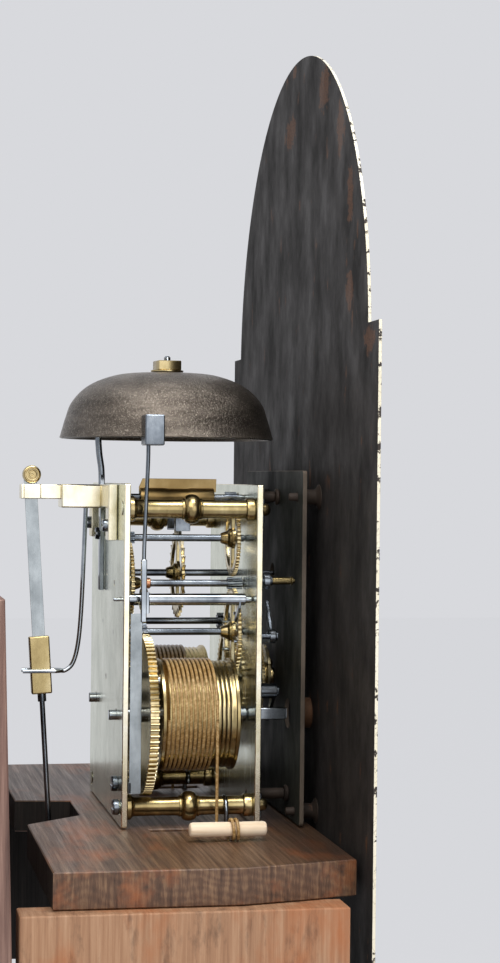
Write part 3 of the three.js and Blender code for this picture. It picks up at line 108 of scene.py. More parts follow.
def add(tree: Tree, kind: str, inputs: dict[str | int, object] | None = None,
        stops: tuple[tuple[float, str], ...] = (), **settings: object) -> Node:
    """Add a node with its settings, values and links.

    Args:
        tree: The tree that gets the node.
        kind: The node's type name.
        inputs: Sockets by name or number, each with a value, or with the socket or the node that feeds it.
        stops: Places and hex colours of a colour ramp, in rising order.
        settings: Properties of the node itself.

    Returns:
        The node.
    """
    made = tree.nodes.new(kind)
    for key, value in settings.items():
        setattr(made, key, value)
    for number, (place, code) in enumerate(stops):
        mark = made.color_ramp.elements[number] if number < 2 else made.color_ramp.elements.new(place)
        mark.position = place
        mark.color = hex_linear(code)
    for key, value in (inputs or {}).items():
        source = value.outputs[0] if isinstance(value, Node) else value
        if isinstance(source, Socket):
            tree.links.new(source, made.inputs[key])
        else:
            made.inputs[key].default_value = source
    return made


# Shapes


def from_mesh(name: str, mesh: bpy.types.Mesh) -> Obj:
    """Link a mesh as a new object at the origin."""
    made = bpy.data.objects.new(name, mesh)
    bpy.context.scene.collection.objects.link(made)
    return made


def smooth(mesh: bpy.types.Mesh, degrees: float = 34.0) -> None:
    """Shade a mesh smooth and keep its sharp edges sharp.

    Args:
        mesh: The mesh to shade.
        degrees: The least angle between two faces that stays a sharp edge.
    """
    shape = bmesh.new()
    shape.from_mesh(mesh)
    limit = math.radians(degrees)
    for face in shape.faces:
        face.smooth = True
    for edge in shape.edges:
        edge.smooth = len(edge.link_faces) == 2 and edge.calc_face_angle(math.pi) < limit
    shape.to_mesh(mesh)
    shape.free()


def turned_out(mesh: bpy.types.Mesh, merge: float = 0.0) -> None:
    """Turn a mesh's faces outwards.

    Args:
        mesh: The mesh.
        merge: The distance within which points are merged first, in metres, or 0 for none.
    """
    shape = bmesh.new()
    shape.from_mesh(mesh)
    if merge:
        bmesh.ops.remove_doubles(shape, verts=shape.verts, dist=merge)
    bmesh.ops.recalc_face_normals(shape, faces=shape.faces)
    shape.to_mesh(mesh)
    shape.free()


def solid(name: str, points: list[Point], faces: list[tuple[int, ...]]) -> Obj:
    """Make an outward-facing object from points in the movement frame.

    Args:
        name: The object's name.
        points: Its points, in millimetres.
        faces: Its faces, as numbers of points.

    Returns:
        The object.
    """
    mesh = bpy.data.meshes.new(name)
    mesh.from_pydata([at(*p) for p in points], [], faces)
    turned_out(mesh, 2e-6)
    smooth(mesh)
    return from_mesh(name, mesh)


def around(centre: Flat, radius: float, angle: float) -> Flat:
    """Give the flat point at a distance and an angle from a centre."""
    return (centre[0] + radius * math.cos(angle), centre[1] + radius * math.sin(angle))


def set_in(axis: Axis, spot: Flat, along: float) -> Point:
    """Put a flat point, which has the two other coordinates, at a place along an axis."""
    if axis is Axis.X:
        return (along, spot[0], spot[1])
    return (spot[0], along, spot[1]) if axis is Axis.Y else (spot[0], spot[1], along)


def revolved(name: str, profile: list[Flat], centre: Flat, axis: Axis = Axis.Y, steps: int = 48,
             loop: bool = False) -> Obj:
    """Turn a profile round an axis.

    Args:
        name: The object's name.
        profile: Radius and place along the axis, from one end to the other.
        centre: Where the axis lies.
        axis: The axis's direction.
        steps: How many faces go round.
        loop: Whether the profile closes on itself, as a shell's does.

    Returns:
        The object.
    """
    points = [set_in(axis, around(centre, radius, 2 * math.pi * i / steps), along)
              for radius, along in profile for i in range(steps)]
    rows = len(profile)
    faces = []
    for row in range(rows if loop else rows - 1):
        low, high = row * steps, (row + 1) % rows * steps
        for i in range(steps):
            j = (i + 1) % steps
            corners = [low + i, low + j, high + j, high + i]
            if profile[row][0] < 1e-6:
                corners = [low, high + j, high + i]
            elif profile[(row + 1) % rows][0] < 1e-6:
                corners = [low + i, low + j, high]
            faces.append(tuple(corners))
    used = sorted({i for face in faces for i in face})
    number = {old: new for new, old in enumerate(used)}
    return solid(name, [points[i] for i in used], [tuple(number[i] for i in face) for face in faces])


def rod(name: str, centre: Flat, steps: list[Point], axis: Axis = Axis.Y, sides: int = 24,
        edge: float = 0.2) -> Obj:
    """Make cylinders end to end, with broken edges.

    Args:
        name: The object's name.
        centre: Where the axis lies.
        steps: For each cylinder its start, its end and its radius.
        axis: The axis's direction.
        sides: How many faces go round.
        edge: The width of each broken edge.

    Returns:
        The object.
    """
    way = 1 if steps[-1][1] > steps[0][0] else -1
    profile: list[Flat] = [(0, steps[0][0])]
    for start, end, radius in steps:
        cut = min(edge, radius * 0.4, abs(end - start) * 0.4)
        profile += [(radius - cut, start), (radius, start + way * cut)]
        profile += [(radius, end - way * cut), (radius - cut, end)]
    profile.append((0, steps[-1][1]))
    return revolved(name, profile, centre, axis, sides)


def smoothed(points: list[Point], per: int = 8) -> list[Point]:
    """Run a smooth line through a few points.

    Args:
        points: The points that the line goes through.
        per: How many steps it takes between two of them.

    Returns:
        The line's points.
    """
    line = []
    for i in range(len(points) - 1):
        a, b, c, d = (Vector(points[max(0, min(len(points) - 1, k))]) for k in (i - 1, i, i + 1, i + 2))
        for t in (step / per for step in range(per)):
            bend = (2 * a - 5 * b + 4 * c - d) * t * t + (3 * b - a - 3 * c + d) * t**3
            line.append(tuple(0.5 * (2 * b + (c - a) * t + bend)))
    line.append(tuple(points[-1]))
    return line


def tube(name: str, line: list[Point], radius: float | list[float], sides: int = 12) -> Obj:
    """Sweep a round section along a line, with closed ends.

    Each corner keeps how far along the line it is and how far round, as the attributes run and turn, so that
    a twist can follow the piece.

    Args:
        name: The object's name.
        line: The line's points.
        radius: The section's radius, or one for each point.
        sides: How many faces go round.

    Returns:
        The object.
    """
    path = [Vector(p) for p in line]
    radii = radius if isinstance(radius, list) else [radius] * len(path)
    last = len(path) - 1
    ahead = [(path[min(i + 1, last)] - path[max(i - 1, 0)]).normalized() for i in range(len(path))]
    side = ahead[0].orthogonal().normalized()
    points, runs, run = [], [], 0.0
    section = circle(0, 0, 1, sides)
    for i, (spot, way) in enumerate(zip(path, ahead)):
        side = (side - way * side.dot(way)).normalized()
        up = way.cross(side)
        points += [at(*(spot + radii[i] * (side * c + up * s))) for c, s in section]
        run += (spot - path[i - 1]).length if i else 0.0
        runs.append(run * MM)
    rings = range(0, last * sides, sides)
    faces = [(r + k, r + (k + 1) % sides, r + sides + (k + 1) % sides, r + sides + k) for r in rings
             for k in range(sides)]
    faces += [tuple(range(sides))[::-1], tuple(last * sides + k for k in range(sides))]
    mesh = bpy.data.meshes.new(name)
    mesh.from_pydata(points, [], faces)
    along = mesh.attributes.new("run", "FLOAT", "CORNER").data
    round_it = mesh.attributes.new("turn", "FLOAT", "CORNER").data
    for face in mesh.polygons:
        for corner, vertex in zip(face.loop_indices, face.vertices):
            seam = face.index < last * sides and vertex % sides == 0 and face.index % sides == sides - 1
            along[corner].value = runs[vertex // sides]
            round_it[corner].value = 1.0 if seam else vertex % sides / sides
    turned_out(mesh)
    smooth(mesh, 50)
    return from_mesh(name, mesh)


def offset_loop(loop: list[Flat], distance: float) -> list[Flat]:
    """Move each corner of a closed line to its left, keeping the sides parallel."""
    moved = []
    for i, spot in enumerate(loop):
        before = Vector(spot) - Vector(loop[i - 1])
        after = Vector(loop[(i + 1) % len(loop)]) - Vector(spot)
        one = Vector((-before.y, before.x)).normalized()
        two = Vector((-after.y, after.x)).normalized()
        middle = (one + two).normalized()
        reach = distance / max(0.35, middle.dot(one))
        moved.append((spot[0] + middle.x * reach, spot[1] + middle.y * reach))
    return moved


def area(loop: list[Flat]) -> float:
    """Give twice the signed area of a closed line, positive where it runs anticlockwise."""
    return sum(loop[i - 1][0] * loop[i][1] - loop[i][0] * loop[i - 1][1] for i in range(len(loop)))


def circle(x: float, z: float, radius: float, count: int = 24, start: float = 0.0) -> list[Flat]:
    """Give the corners of a regular polygon."""
    return [around((x, z), radius, start + 2 * math.pi * i / count) for i in range(count)]


def sheet(name: str, outline: list[Flat], low: float, high: float, holes: list[list[Flat]] | None = None,
          edge: float = 0.25, axis: Axis = Axis.Y, sinks: int = 0) -> Obj:
    """Cut a flat piece from sheet, with holes and broken edges.

    Args:
        name: The object's name.
        outline: Its outline, in the two coordinates other than the axis's.
        low: One face's place along the axis.
        high: The other face's place.
        holes: Outlines of the holes.
        edge: The width of each broken edge.
        axis: The direction of the sheet's thickness.
        sinks: How many of the first holes have an oil sink in the higher face.

    Returns:
        The object.
    """
    low, high = min(low, high), max(low, high)
    loops = [outline if area(outline) > 0 else outline[::-1]]
    loops += [hole[::-1] if area(hole) > 0 else hole for hole in holes or []]
    inner = [offset_loop(loop, edge) for loop in loops]
    wide = [offset_loop(loop, -SINK_WIDTH) if 0 < i <= sinks else inner[i] for i, loop in enumerate(loops)]
    points: list[Point] = []
    for along, rims in ((low, inner), (low + edge, loops), (high - edge, loops), (high, wide)):
        for i, rim in enumerate(rims):
            sunk = SINK_DEPTH if rims is loops and along > low + edge and 0 < i <= sinks else 0.0
            points += [set_in(axis, spot, along - sunk) for spot in rim]
    count = sum(len(loop) for loop in loops)
    faces: list[tuple[int, ...]] = []
    first = 0
    for loop in loops:
        for i in range(len(loop)):
            a, b = first + i, first + (i + 1) % len(loop)
            for ring in (0, count, 2 * count):
                faces.append((ring + a, ring + b, ring + count + b, ring + count + a))
        first += len(loop)
    for rims, ring in ((inner, 0), (wide, 3 * count)):
        flat = [spot for rim in rims for spot in rim]
        for tri in tessellate_polygon([[Vector((x, y, 0)) for x, y in rim] for rim in rims]):
            if len({flat[i] for i in tri}) == 3:
                faces.append(tuple(ring + i for i in tri))
    return solid(name, points, faces)


def block(name: str, xs: Flat, ys: Flat, zs: Flat, edge: float = 0.5, steps: int = 2) -> Obj:
    """Make a box with rounded edges.

    Args:
        name: The object's name.
        xs: Its lowest and highest X.
        ys: Its lowest and highest Y.
        zs: Its lowest and highest Z.
        edge: The radius of its edges.
        steps: How many faces round an edge.

    Returns:
        The object.
    """
    shape = bmesh.new()
    bmesh.ops.create_cube(shape, size=1.0)
    low, high = at(min(xs), min(ys), min(zs)), at(max(xs), max(ys), max(zs))
    for vertex in shape.verts:
        vertex.co = Vector(low[i] if vertex.co[i] < 0 else high[i] for i in range(3))
    bmesh.ops.bevel(shape, geom=shape.edges[:], offset=edge * MM, segments=steps, affect="EDGES", profile=0.5)
    bmesh.ops.recalc_face_normals(shape, faces=shape.faces)
    mesh = bpy.data.meshes.new(name)
    shape.to_mesh(mesh)
    shape.free()
    smooth(mesh, 50)
    for face in mesh.polygons:
        face.use_smooth = max(abs(part) for part in face.normal) < 0.999
    return from_mesh(name, mesh)


def turned_about(piece: Obj, centre: Point, axis: Axis, degrees: float) -> Obj:
    """Turn a piece's mesh about a line of the movement frame.

    Args:
        piece: The piece.
        centre: A point on the line.
        axis: The line's direction.
        degrees: The angle, by the right-hand rule.

    Returns:
        The piece.
    """
    spot = at(*centre)
    turn = Matrix.Rotation(math.radians(degrees), 4, axis.name)
    piece.data.transform(Matrix.Translation(spot) @ turn @ Matrix.Translation(-spot))
    return piece


def joined(name: str, pieces: list[Obj]) -> Obj:
    """Put several pieces into one mesh, each with its own material.

    Args:
        name: The new object's name.
        pieces: The pieces, which are used up.

    Returns:
        The new object.
    """
    shape = bmesh.new()
    mesh = bpy.data.meshes.new(name)
    for piece in pieces:
        start = len(shape.faces)
        numbers = []
        for material in piece.data.materials:
            if material.name not in mesh.materials:
                mesh.materials.append(material)
            numbers.append(mesh.materials.find(material.name))
        shape.from_mesh(piece.data)
        shape.faces.ensure_lookup_table()
        for face in shape.faces[start:]:
            face.material_index = numbers[face.material_index] if numbers else 0
        old = piece.data
        bpy.data.objects.remove(piece)
        bpy.data.meshes.remove(old)
    shape.to_mesh(mesh)
    shape.free()
    return from_mesh(name, mesh)


# Geometry Nodes


def blank_tree(name: str, inputs: dict[str, str]) -> Tree:
    """Start a Geometry Nodes tree that takes a shape and gives a shape.

    Args:
        name: The tree's name.
        inputs: The kind of each further input, by its name.

    Returns:
        The tree.
    """
    tree = bpy.data.node_groups.new(name, "GeometryNodeTree")
    for label, kind in {"Geometry": "Geometry", **inputs}.items():
        tree.interface.new_socket(label, in_out="INPUT", socket_type="NodeSocket" + kind)
    tree.interface.new_socket("Geometry", in_out="OUTPUT", socket_type="NodeSocketGeometry")
    return tree


def ended(tree: Tree, shape: Node, material: Socket) -> Tree:
    """End a tree in Realize Instances and Set Material.

    Args:
        tree: The tree.
        shape: The node that gives the shape.
        material: The socket that gives the material.

    Returns:
        The tree.
    """
    real = add(tree, "GeometryNodeRealizeInstances", {0: shape})
    coated = add(tree, "GeometryNodeSetMaterial", {"Geometry": real, "Material": material})
    add(tree, "NodeGroupOutput", {0: coated})
    return tree


def ring_tree() -> Tree:
    """Build the tree that sets copies of a piece round an axis along Y.

    Returns:
        The tree, with inputs for the count, the axis's place, the first angle and the material.
    """
    name = "copies round an axis"
    if name in bpy.data.node_groups:
        return bpy.data.node_groups[name]
    tree = blank_tree(name, {"Count": "Int", "Centre": "Vector", "Start": "Float", "Material": "Material"})
    given = add(tree, "NodeGroupInput").outputs
    points = add(tree, "GeometryNodePoints", {"Count": given["Count"], "Position": given["Centre"]})
    index = add(tree, "GeometryNodeInputIndex")
    share = add(tree, "ShaderNodeMath", {0: index, 1: given["Count"]}, operation="DIVIDE")
    inputs = {0: share, 1: -2 * math.pi, 2: given["Start"]}
    angle = add(tree, "ShaderNodeMath", inputs, operation="MULTIPLY_ADD")
    turn = add(tree, "ShaderNodeCombineXYZ", {"Y": angle})
    inputs = {"Points": points, "Instance": given["Geometry"], "Rotation": turn}
    return ended(tree, add(tree, "GeometryNodeInstanceOnPoints", inputs), given["Material"])


def applied(piece: Obj, tree: Tree, values: dict[str, object]) -> Obj:
    """Run a tree on a piece and keep its result as a plain mesh.

    Args:
        piece: The piece that the tree works on.
        tree: The Geometry Nodes tree.
        values: The tree's inputs by name.

    Returns:
        The piece with its new mesh and no modifier.
    """
    modifier = piece.modifiers.new("form", "NODES")
    modifier.node_group = tree
    for item in tree.interface.items_tree:
        if item.in_out == "INPUT" and item.name in values:
            modifier[item.identifier] = values[item.name]
    bpy.context.view_layer.update()
    made = bpy.data.meshes.new_from_object(piece.evaluated_get(bpy.context.evaluated_depsgraph_get()))
    piece.modifiers.clear()
    old = piece.data
    piece.data = made
    bpy.data.meshes.remove(old)
    return piece


def copies_round(name: str, outline: list[Flat], ys: Flat, centre: Flat, count: int, start: float,
                 finish: "Finish") -> Obj:
    """Set copies of a small flat piece, such as a tooth, round an axis along Y.

    Args:
        name: The object's name.
        outline: The piece's outline as it stands on the axis's +X side, measured from the axis.
        ys: The Y of its two faces.
        centre: The axis's X and Z.
        count: How many copies.
        start: The first copy's angle from X towards Z.
        finish: The copies' finish.

    Returns:
        The object.
    """
    tooth = sheet(name, outline, *ys, edge=0.08)
    tooth.data.transform(Matrix.Translation(-DATUM))
    values = {"Count": count, "Centre": at(centre[0], 0, centre[1]), "Start": -start,
              "Material": finish.material()}
    return dressed(applied(tooth, ring_tree(), values), finish)


# Finishes


@dataclass
class Wiring:
    """A material's tree, while a finish wires its patterns.

    Attributes:
        tree: The tree.
        place: The coordinates on the object.
    """

    tree: Tree
    place: Socket

    def mottle(self, cell: Point, detail: float = 3.0, rough: float = 0.55) -> Node:
        """Make an uneven pattern of a real size.

        Args:
            cell: The size of one patch along X, Y and Z, in millimetres.
            detail: How many finer steps it has.
            rough: How strong the finer steps are.

        Returns:
            The node of its value, from 0 to 1.
        """
        scale = tuple(1 / (size * MM) for size in cell)
        inputs = {"Vector": self.place, "Scale": scale, "Location": (3.7, 1.3, 5.1)}
        inputs = {"Vector": add(self.tree, "ShaderNodeMapping", inputs), "Scale": 1.0, "Detail": detail,
                  "Roughness": rough}
        return add(self.tree, "ShaderNodeTexNoise", inputs)

    def between(self, value: Node | Socket, low: float, high: float, start: float, end: float) -> Node:
        """Stretch one range of a value to another range, and keep it there.

        Args:
            value: What gives the value.
            low: The value that gives the start.
            high: The value that gives the end.
            start: The new range's start.
            end: The new range's end.

        Returns:
            The new value's node.
        """
        inputs = {"Value": value, "From Min": low, "From Max": high, "To Min": start, "To Max": end}
        return add(self.tree, "ShaderNodeMapRange", inputs)

    def laid_over(self, share: Node, under: Node | Socket, over: Node | Colour) -> Socket:
        """Lay one colour over another.

        Args:
            share: The upper colour's share.
            under: The lower colour.
            over: The upper colour.

        Returns:
            The mixed colour's socket.
        """
        return add(self.tree, "ShaderNodeMix", {0: share, 6: under, 7: over}, data_type="RGBA").outputs[2]

    def relief(self, height: Node, depth: float, strength: float = 1.0) -> Node:
        """Raise and sink the surface by a value.

        Args:
            height: The value.
            depth: The height of a full step, in millimetres.
            strength: How strongly it shows.

        Returns:
            The node of the new normal.
        """
        inputs = {"Height": height, "Distance": depth * MM, "Strength": strength}
        return add(self.tree, "ShaderNodeBump", inputs)


@dataclass(frozen=True)
class Finish:
    """What a piece is made of and how its surface was made.

    Attributes:
        name: The material's name.
        slot: The record's slot that it belongs to.
    """

    name: str
    slot: str

    def material(self) -> bpy.types.Material:
        """Give the material, which is built the first time that it is asked for."""
        if self.name in bpy.data.materials:
            return bpy.data.materials[self.name]
        made = bpy.data.materials.new(self.name)
        made.use_nodes = True
        tree = made.node_tree
        tree.nodes.clear()
        place = add(tree, "ShaderNodeTexCoord").outputs["Object"]
        shader = add(tree, "ShaderNodeBsdfPrincipled", self.surface(Wiring(tree, place)))
        add(tree, "ShaderNodeOutputMaterial", {"Surface": shader})
        return made

    def surface(self, work: Wiring) -> dict[str, object]:
        """Wire the patterns and give what feeds the shader's sockets; each finish has its own."""
        return {}


class Working(Enum):
    """How a metal's surface was made: the size of one mark along X, Y and Z, in millimetres."""

    ROLLED = (0.4, 30.0, 30.0)
    TURNED = (14.0, 0.16, 14.0)
    DRAWN = (0.35, 22.0, 0.35)
    FORGED = (2.6, 2.6, 2.6)
    POLISHED = (9.0, 9.0, 9.0)
    STREAKED = (0.5, 0.5, 34.0)


@dataclass(frozen=True)
class Metal(Finish):
    """A bare metal with its tool marks, tarnish and specks.

    Attributes:
        colours: Its dark, middle and bright tones.
        gloss: Its lowest and highest roughness.
        working: How the surface was made.
        marks: The depth of the tool marks, in millimetres.
        tarnish: The colour of its stains.
        stained: The share of the surface that is stained, from 0 to 1.
        speck: The size of the stains, in millimetres.
    """

    colours: tuple[str, str, str]
    gloss: Flat
    working: Working
    marks: float
    tarnish: str
    stained: float
    speck: float

    def surface(self, work: Wiring) -> dict[str, object]:
        """Wire broad tone, stains and tool marks; see the base class."""
        broad = work.mottle((17, 17, 23), 4, 0.6)
        stops = tuple(zip((0.3, 0.5, 0.72), self.colours))
        tone = add(work.tree, "ShaderNodeValToRGB", {"Fac": broad}, stops=stops)
        spots = work.mottle((self.speck,) * 3, 5, 0.68)
        edge = 0.74 - 0.26 * self.stained
        share = work.between(spots, edge, edge + 0.12, 0.0, 0.75)
        lines = work.mottle(self.working.value, 3, 0.7)
        uneven = add(work.tree, "ShaderNodeMath", {0: lines, 1: share}, operation="ADD")
        return {"Base Color": work.laid_over(share, tone, hex_linear(self.tarnish)), "Metallic": 1.0,
                "Roughness": work.between(uneven, 0.3, 1.3, *self.gloss),
                "Normal": work.relief(lines, self.marks)}


@dataclass(frozen=True)
class BellMetal(Finish):
    """Bronze left as it came from the sand mould, with a brown skin and pale specks painted in as glints of
    light on the rough casting.
    """

    def surface(self, work: Wiring) -> dict[str, object]:
        """Wire the skin, the painted glints and the pits; see the base class."""
        broad = work.mottle((26, 26, 7), 6, 0.6)
        stops = ((0.28, "#3d3731"), (0.52, "#625a52"), (0.76, "#857c72"))
        skin = add(work.tree, "ShaderNodeValToRGB", {"Fac": broad}, stops=stops)
        glint_noise = work.mottle((0.9, 0.9, 0.9), 4, 0.75)
        # Pale specks laid over the skin: painted glints of light on the rough casting.
        bright = work.between(glint_noise, 0.52, 0.74, 0.0, 0.42)
        pits = work.mottle((1.5, 1.5, 1.5), 5, 0.72)
        return {"Base Color": work.laid_over(bright, skin, hex_linear("#e6dccb")), "Metallic": 0.85,
                "Roughness": work.between(broad, 0.35, 0.7, 0.34, 0.27), "Normal": work.relief(pits, 0.66)}


@dataclass(frozen=True)
class RustyIron(Finish):
    """Black-painted sheet iron: old paint that has run and dulled, with rust where it has gone.

    Attributes:
        ground: The paint's dark and light tones.
        rust: The share of the surface that has rusted, from 0 to 1.
        patches: The X and Z of each large patch of rust, and half its width and height, in millimetres.
    """

    ground: tuple[str, str]
    rust: float
    patches: tuple[tuple[Flat, Flat], ...] = ()

    def patch(self, work: Wiring, spot: Flat, half: Flat) -> Node:
        """Make one ragged patch of rust on a face that looks along Y.

        Args:
            work: The material's wiring.
            spot: The patch's X and Z.
            half: Half its width and height.

        Returns:
            The node of the rust's share.
        """
        centre = at(spot[0], 0, spot[1])
        scale = (1 / (half[0] * MM), 0.0, 1 / (half[1] * MM))
        offset = (-centre.x * scale[0], 0.0, -centre.z * scale[2])
        inputs = {"Vector": work.place, "Location": offset, "Scale": scale}
        moved = add(work.tree, "ShaderNodeMapping", inputs)
        away = add(work.tree, "ShaderNodeVectorMath", {0: moved}, operation="LENGTH").outputs["Value"]
        inputs = {0: work.mottle((5, 5, 5), 6, 0.7), 1: 2.2, 2: away}
        ragged = add(work.tree, "ShaderNodeMath", inputs, operation="MULTIPLY_ADD")
        return work.between(ragged, 1.8, 1.86, 0.9, 0.0)

    def surface(self, work: Wiring) -> dict[str, object]:
        """Wire the runs, the rust and the pitting; see the base class."""
        runs = work.mottle((22, 22, 42), 9, 0.66)
        stops = tuple(zip((0.36, 0.66), self.ground))
        paint = add(work.tree, "ShaderNodeValToRGB", {"Fac": runs}, stops=stops)
        edge = 0.735 - 0.18 * self.rust
        gone = work.between(work.mottle((8, 8, 22), 6, 0.6), edge, edge + 0.04, 0.0, 0.85)
        for spot, half in self.patches:
            inputs = {0: gone, 1: self.patch(work, spot, half)}
            gone = add(work.tree, "ShaderNodeMath", inputs, operation="MAXIMUM")
        fine = work.mottle((0.9, 0.9, 0.9), 4, 0.7)
        shades = ((0.3, "#33231b"), (0.5, "#563c2c"), (0.7, "#76533b"))
        rust = add(work.tree, "ShaderNodeValToRGB", {"Fac": fine}, stops=shades)
        height = add(work.tree, "ShaderNodeMath", {0: fine, 1: runs}, operation="ADD")
        return {"Base Color": work.laid_over(gone, paint, rust), "Metallic": 0.0, "Specular IOR Level": 0.2,
                "Roughness": work.between(runs, 0.35, 0.65, 0.78, 0.5), "Normal": work.relief(height, 0.06)}


@dataclass(frozen=True)
class DialPaint(Finish):
    """Oil paint on the dial's face: cream, yellowed in places, with fine age cracks and worn chips.

    Attributes:
        chips: The share that has chipped to the dark iron, from 0 to 1.
    """

    chips: float

    def surface(self, work: Wiring) -> dict[str, object]:
        """Wire the yellowing, the cracks and the chips; see the base class."""
        broad = work.mottle((60, 60, 60), 4, 0.55)
        stops = ((0.3, "#d9cfb2"), (0.5, "#e8e1cb"), (0.7, "#efeadb"))
        cream = add(work.tree, "ShaderNodeValToRGB", {"Fac": broad}, stops=stops)
        inputs = {0: work.mottle((6, 6, 6), 2, 0.5), 1: (0.004, 0.004, 0.004), 2: work.place}
        swayed = add(work.tree, "ShaderNodeVectorMath", inputs, operation="MULTIPLY_ADD")
        inputs = {"Vector": swayed, "Scale": 1 / (7 * MM)}
        voronoi = add(work.tree, "ShaderNodeTexVoronoi", inputs, feature="DISTANCE_TO_EDGE")
        cells = voronoi.outputs["Distance"]
        crack = work.between(cells, 0.004, 0.02, 0.45, 0.0)
        aged = work.laid_over(crack, cream, hex_linear("#7d6f52"))
        edge = 0.76 - 0.24 * self.chips
        chip = work.between(work.mottle((4.4, 4.4, 4.4), 6, 0.68), edge, edge + 0.02, 0.0, 1.0)
        worn = add(work.tree, "ShaderNodeMath", {0: cells, 1: chip}, operation="SUBTRACT", use_clamp=True)
        return {"Base Color": work.laid_over(chip, aged, hex_linear("#2e2620")),
                "Roughness": work.between(chip, 0.0, 1.0, 0.34, 0.7),
                "Normal": work.relief(work.between(worn, 0.0, 0.03, 0.0, 1.0), 0.04, 0.5)}


@dataclass(frozen=True)
class Timber(Finish):
    """Wood with its growth rings, pores and dirt.

    Attributes:
        colours: Its dark, middle and light tones.
        run: The direction of the grain.
        ring: The width of one growth ring, in millimetres.
        dirt: The share that is darkened by age, from 0 to 1.
        rough: The depth of the surface's roughness, in millimetres.
        pith: Where the tree's middle was, in millimetres of the shared frame.
        flush: The colour of its warm patches.
        flushed: Their share, from 0 to 1.
        gloss: Its lowest and highest roughness.
        thick: The direction of a board's thickness, along which the saw left its marks on the end.
        soiled: The Y where painted shade of the dial on its top begins, and where it is full.
    """

    colours: tuple[str, str, str]
    run: Axis
    ring: float
    dirt: float
    rough: float
    pith: Point
    flush: str
    flushed: float
    gloss: Flat = (0.5, 0.8)
    thick: Axis | None = None
    soiled: Flat | None = None

    def cell(self, across: float, along: float, deep: float | None = None) -> Point:
        """Give a patch's size from its width across the grain, its length along it and its depth."""
        sizes = [across] * 3
        sizes[self.run.value] = along
        if deep and self.thick:
            sizes[self.thick.value] = deep
        return (sizes[0], sizes[1], sizes[2])

    def rings(self, work: Wiring) -> Node:
        """Make growth rings round the pith, which lies beside the board and wanders a little."""
        scale = tuple(0.04 if axis == self.run else 1.0 for axis in Axis)
        offset = tuple(-value * MM * part for value, part in zip(self.pith, scale))
        inputs = {"Vector": work.place, "Location": offset, "Scale": scale}
        centred = add(work.tree, "ShaderNodeMapping", inputs)
        length = add(work.tree, "ShaderNodeVectorMath", {0: centred}, operation="LENGTH").outputs["Value"]
        inputs = {0: work.mottle(self.cell(34, 340), 4, 0.5), 1: self.ring * 7 * MM, 2: length}
        bent = add(work.tree, "ShaderNodeMath", inputs, operation="MULTIPLY_ADD")
        inputs = {0: bent, 1: 2 * math.pi / (self.ring * MM)}
        wave = add(work.tree, "ShaderNodeMath", inputs, operation="MULTIPLY")
        return add(work.tree, "ShaderNodeMath", {0: wave}, operation="SINE")

    def greased(self, work: Wiring, tone: Socket, reach: Flat) -> Socket:
        """Lay painted shade of the dial over the top near the dial, darkest nearest it.

        Args:
            work: The material's wiring.
            tone: The wood's colour.
            reach: The Y where it begins, and where it is full.

        Returns:
            The socket of the colour.
        """
        along = add(work.tree, "ShaderNodeSeparateXYZ", {"Vector": work.place}).outputs["Y"]
        normal = add(work.tree, "ShaderNodeNewGeometry").outputs["Normal"]
        up = add(work.tree, "ShaderNodeSeparateXYZ", {"Vector": normal}).outputs["Z"]
        near = work.between(along, at(0, reach[1], 0).y, at(0, reach[0], 0).y, 0.62, 0.0)
        top = work.between(up, 0.6, 0.9, 0.0, 1.0)
        share = add(work.tree, "ShaderNodeMath", {0: near, 1: top}, operation="MULTIPLY")
        return work.laid_over(share, tone, hex_linear("#1e1612"))

    def surface(self, work: Wiring) -> dict[str, object]:
        """Wire the rings, fibres, flush of colour, dirt and any painted shade of the dial; see the base
        class.
        """
        fibres = work.mottle(self.cell(1.9, 70, 16), 7, 0.68)
        inputs = {0: self.rings(work), 1: 0.035, 2: fibres}
        mixed = add(work.tree, "ShaderNodeMath", inputs, operation="MULTIPLY_ADD")
        stops = tuple(zip((0.28, 0.5, 0.74), self.colours))
        tone = add(work.tree, "ShaderNodeValToRGB", {"Fac": mixed}, stops=stops)
        edge = 0.74 - 0.3 * self.flushed
        flush = work.between(work.mottle(self.cell(24, 60), 5, 0.62), edge, edge + 0.2, 0.0, 0.7)
        warmed = work.laid_over(flush, tone, hex_linear(self.flush))
        grime = work.mottle(self.cell(13, 40), 8, 0.7)
        edge = 0.72 - 0.3 * self.dirt
        dark = work.laid_over(work.between(grime, edge, edge + 0.2, 0.0, 0.8), warmed, hex_linear("#251a15"))
        # Painted shade of the dial, which darkens the board's top near it.
        if self.soiled:
            dark = self.greased(work, dark, self.soiled)
        height = add(work.tree, "ShaderNodeMath", {0: mixed, 1: grime}, operation="ADD")
        return {"Base Color": dark, "Specular IOR Level": 0.45, "Normal": work.relief(height, self.rough),
                "Roughness": work.between(fibres, 0.7, 0.3, *self.gloss)}


@dataclass(frozen=True)
class Gut(Finish):
    """Twisted gut: amber, half clear, with its strands winding round it."""

    def surface(self, work: Wiring) -> dict[str, object]:
        """Wire the strands from the run and turn kept on the line; see the base class."""
        run = add(work.tree, "ShaderNodeAttribute", attribute_name="run").outputs["Fac"]
        turn = add(work.tree, "ShaderNodeAttribute", attribute_name="turn").outputs["Fac"]
        inputs = {0: run, 1: 1 / (2.6 * MM), 2: turn}
        twist = add(work.tree, "ShaderNodeMath", inputs, operation="MULTIPLY_ADD")
        angle = add(work.tree, "ShaderNodeMath", {0: twist, 1: 4 * math.pi}, operation="MULTIPLY")
        strands = add(work.tree, "ShaderNodeMath", {0: angle}, operation="SINE")
        inputs = {0: strands, 1: 0.05, 2: work.mottle((1.6, 1.6, 1.6), 4, 0.6)}
        tone = add(work.tree, "ShaderNodeMath", inputs, operation="MULTIPLY_ADD")
        stops = ((0.26, "#856637"), (0.5, "#ab8856"), (0.74, "#d3b683"))
        colour = add(work.tree, "ShaderNodeValToRGB", {"Fac": tone}, stops=stops)
        return {"Base Color": colour, "Roughness": 0.24, "Normal": work.relief(strands, 0.03)}


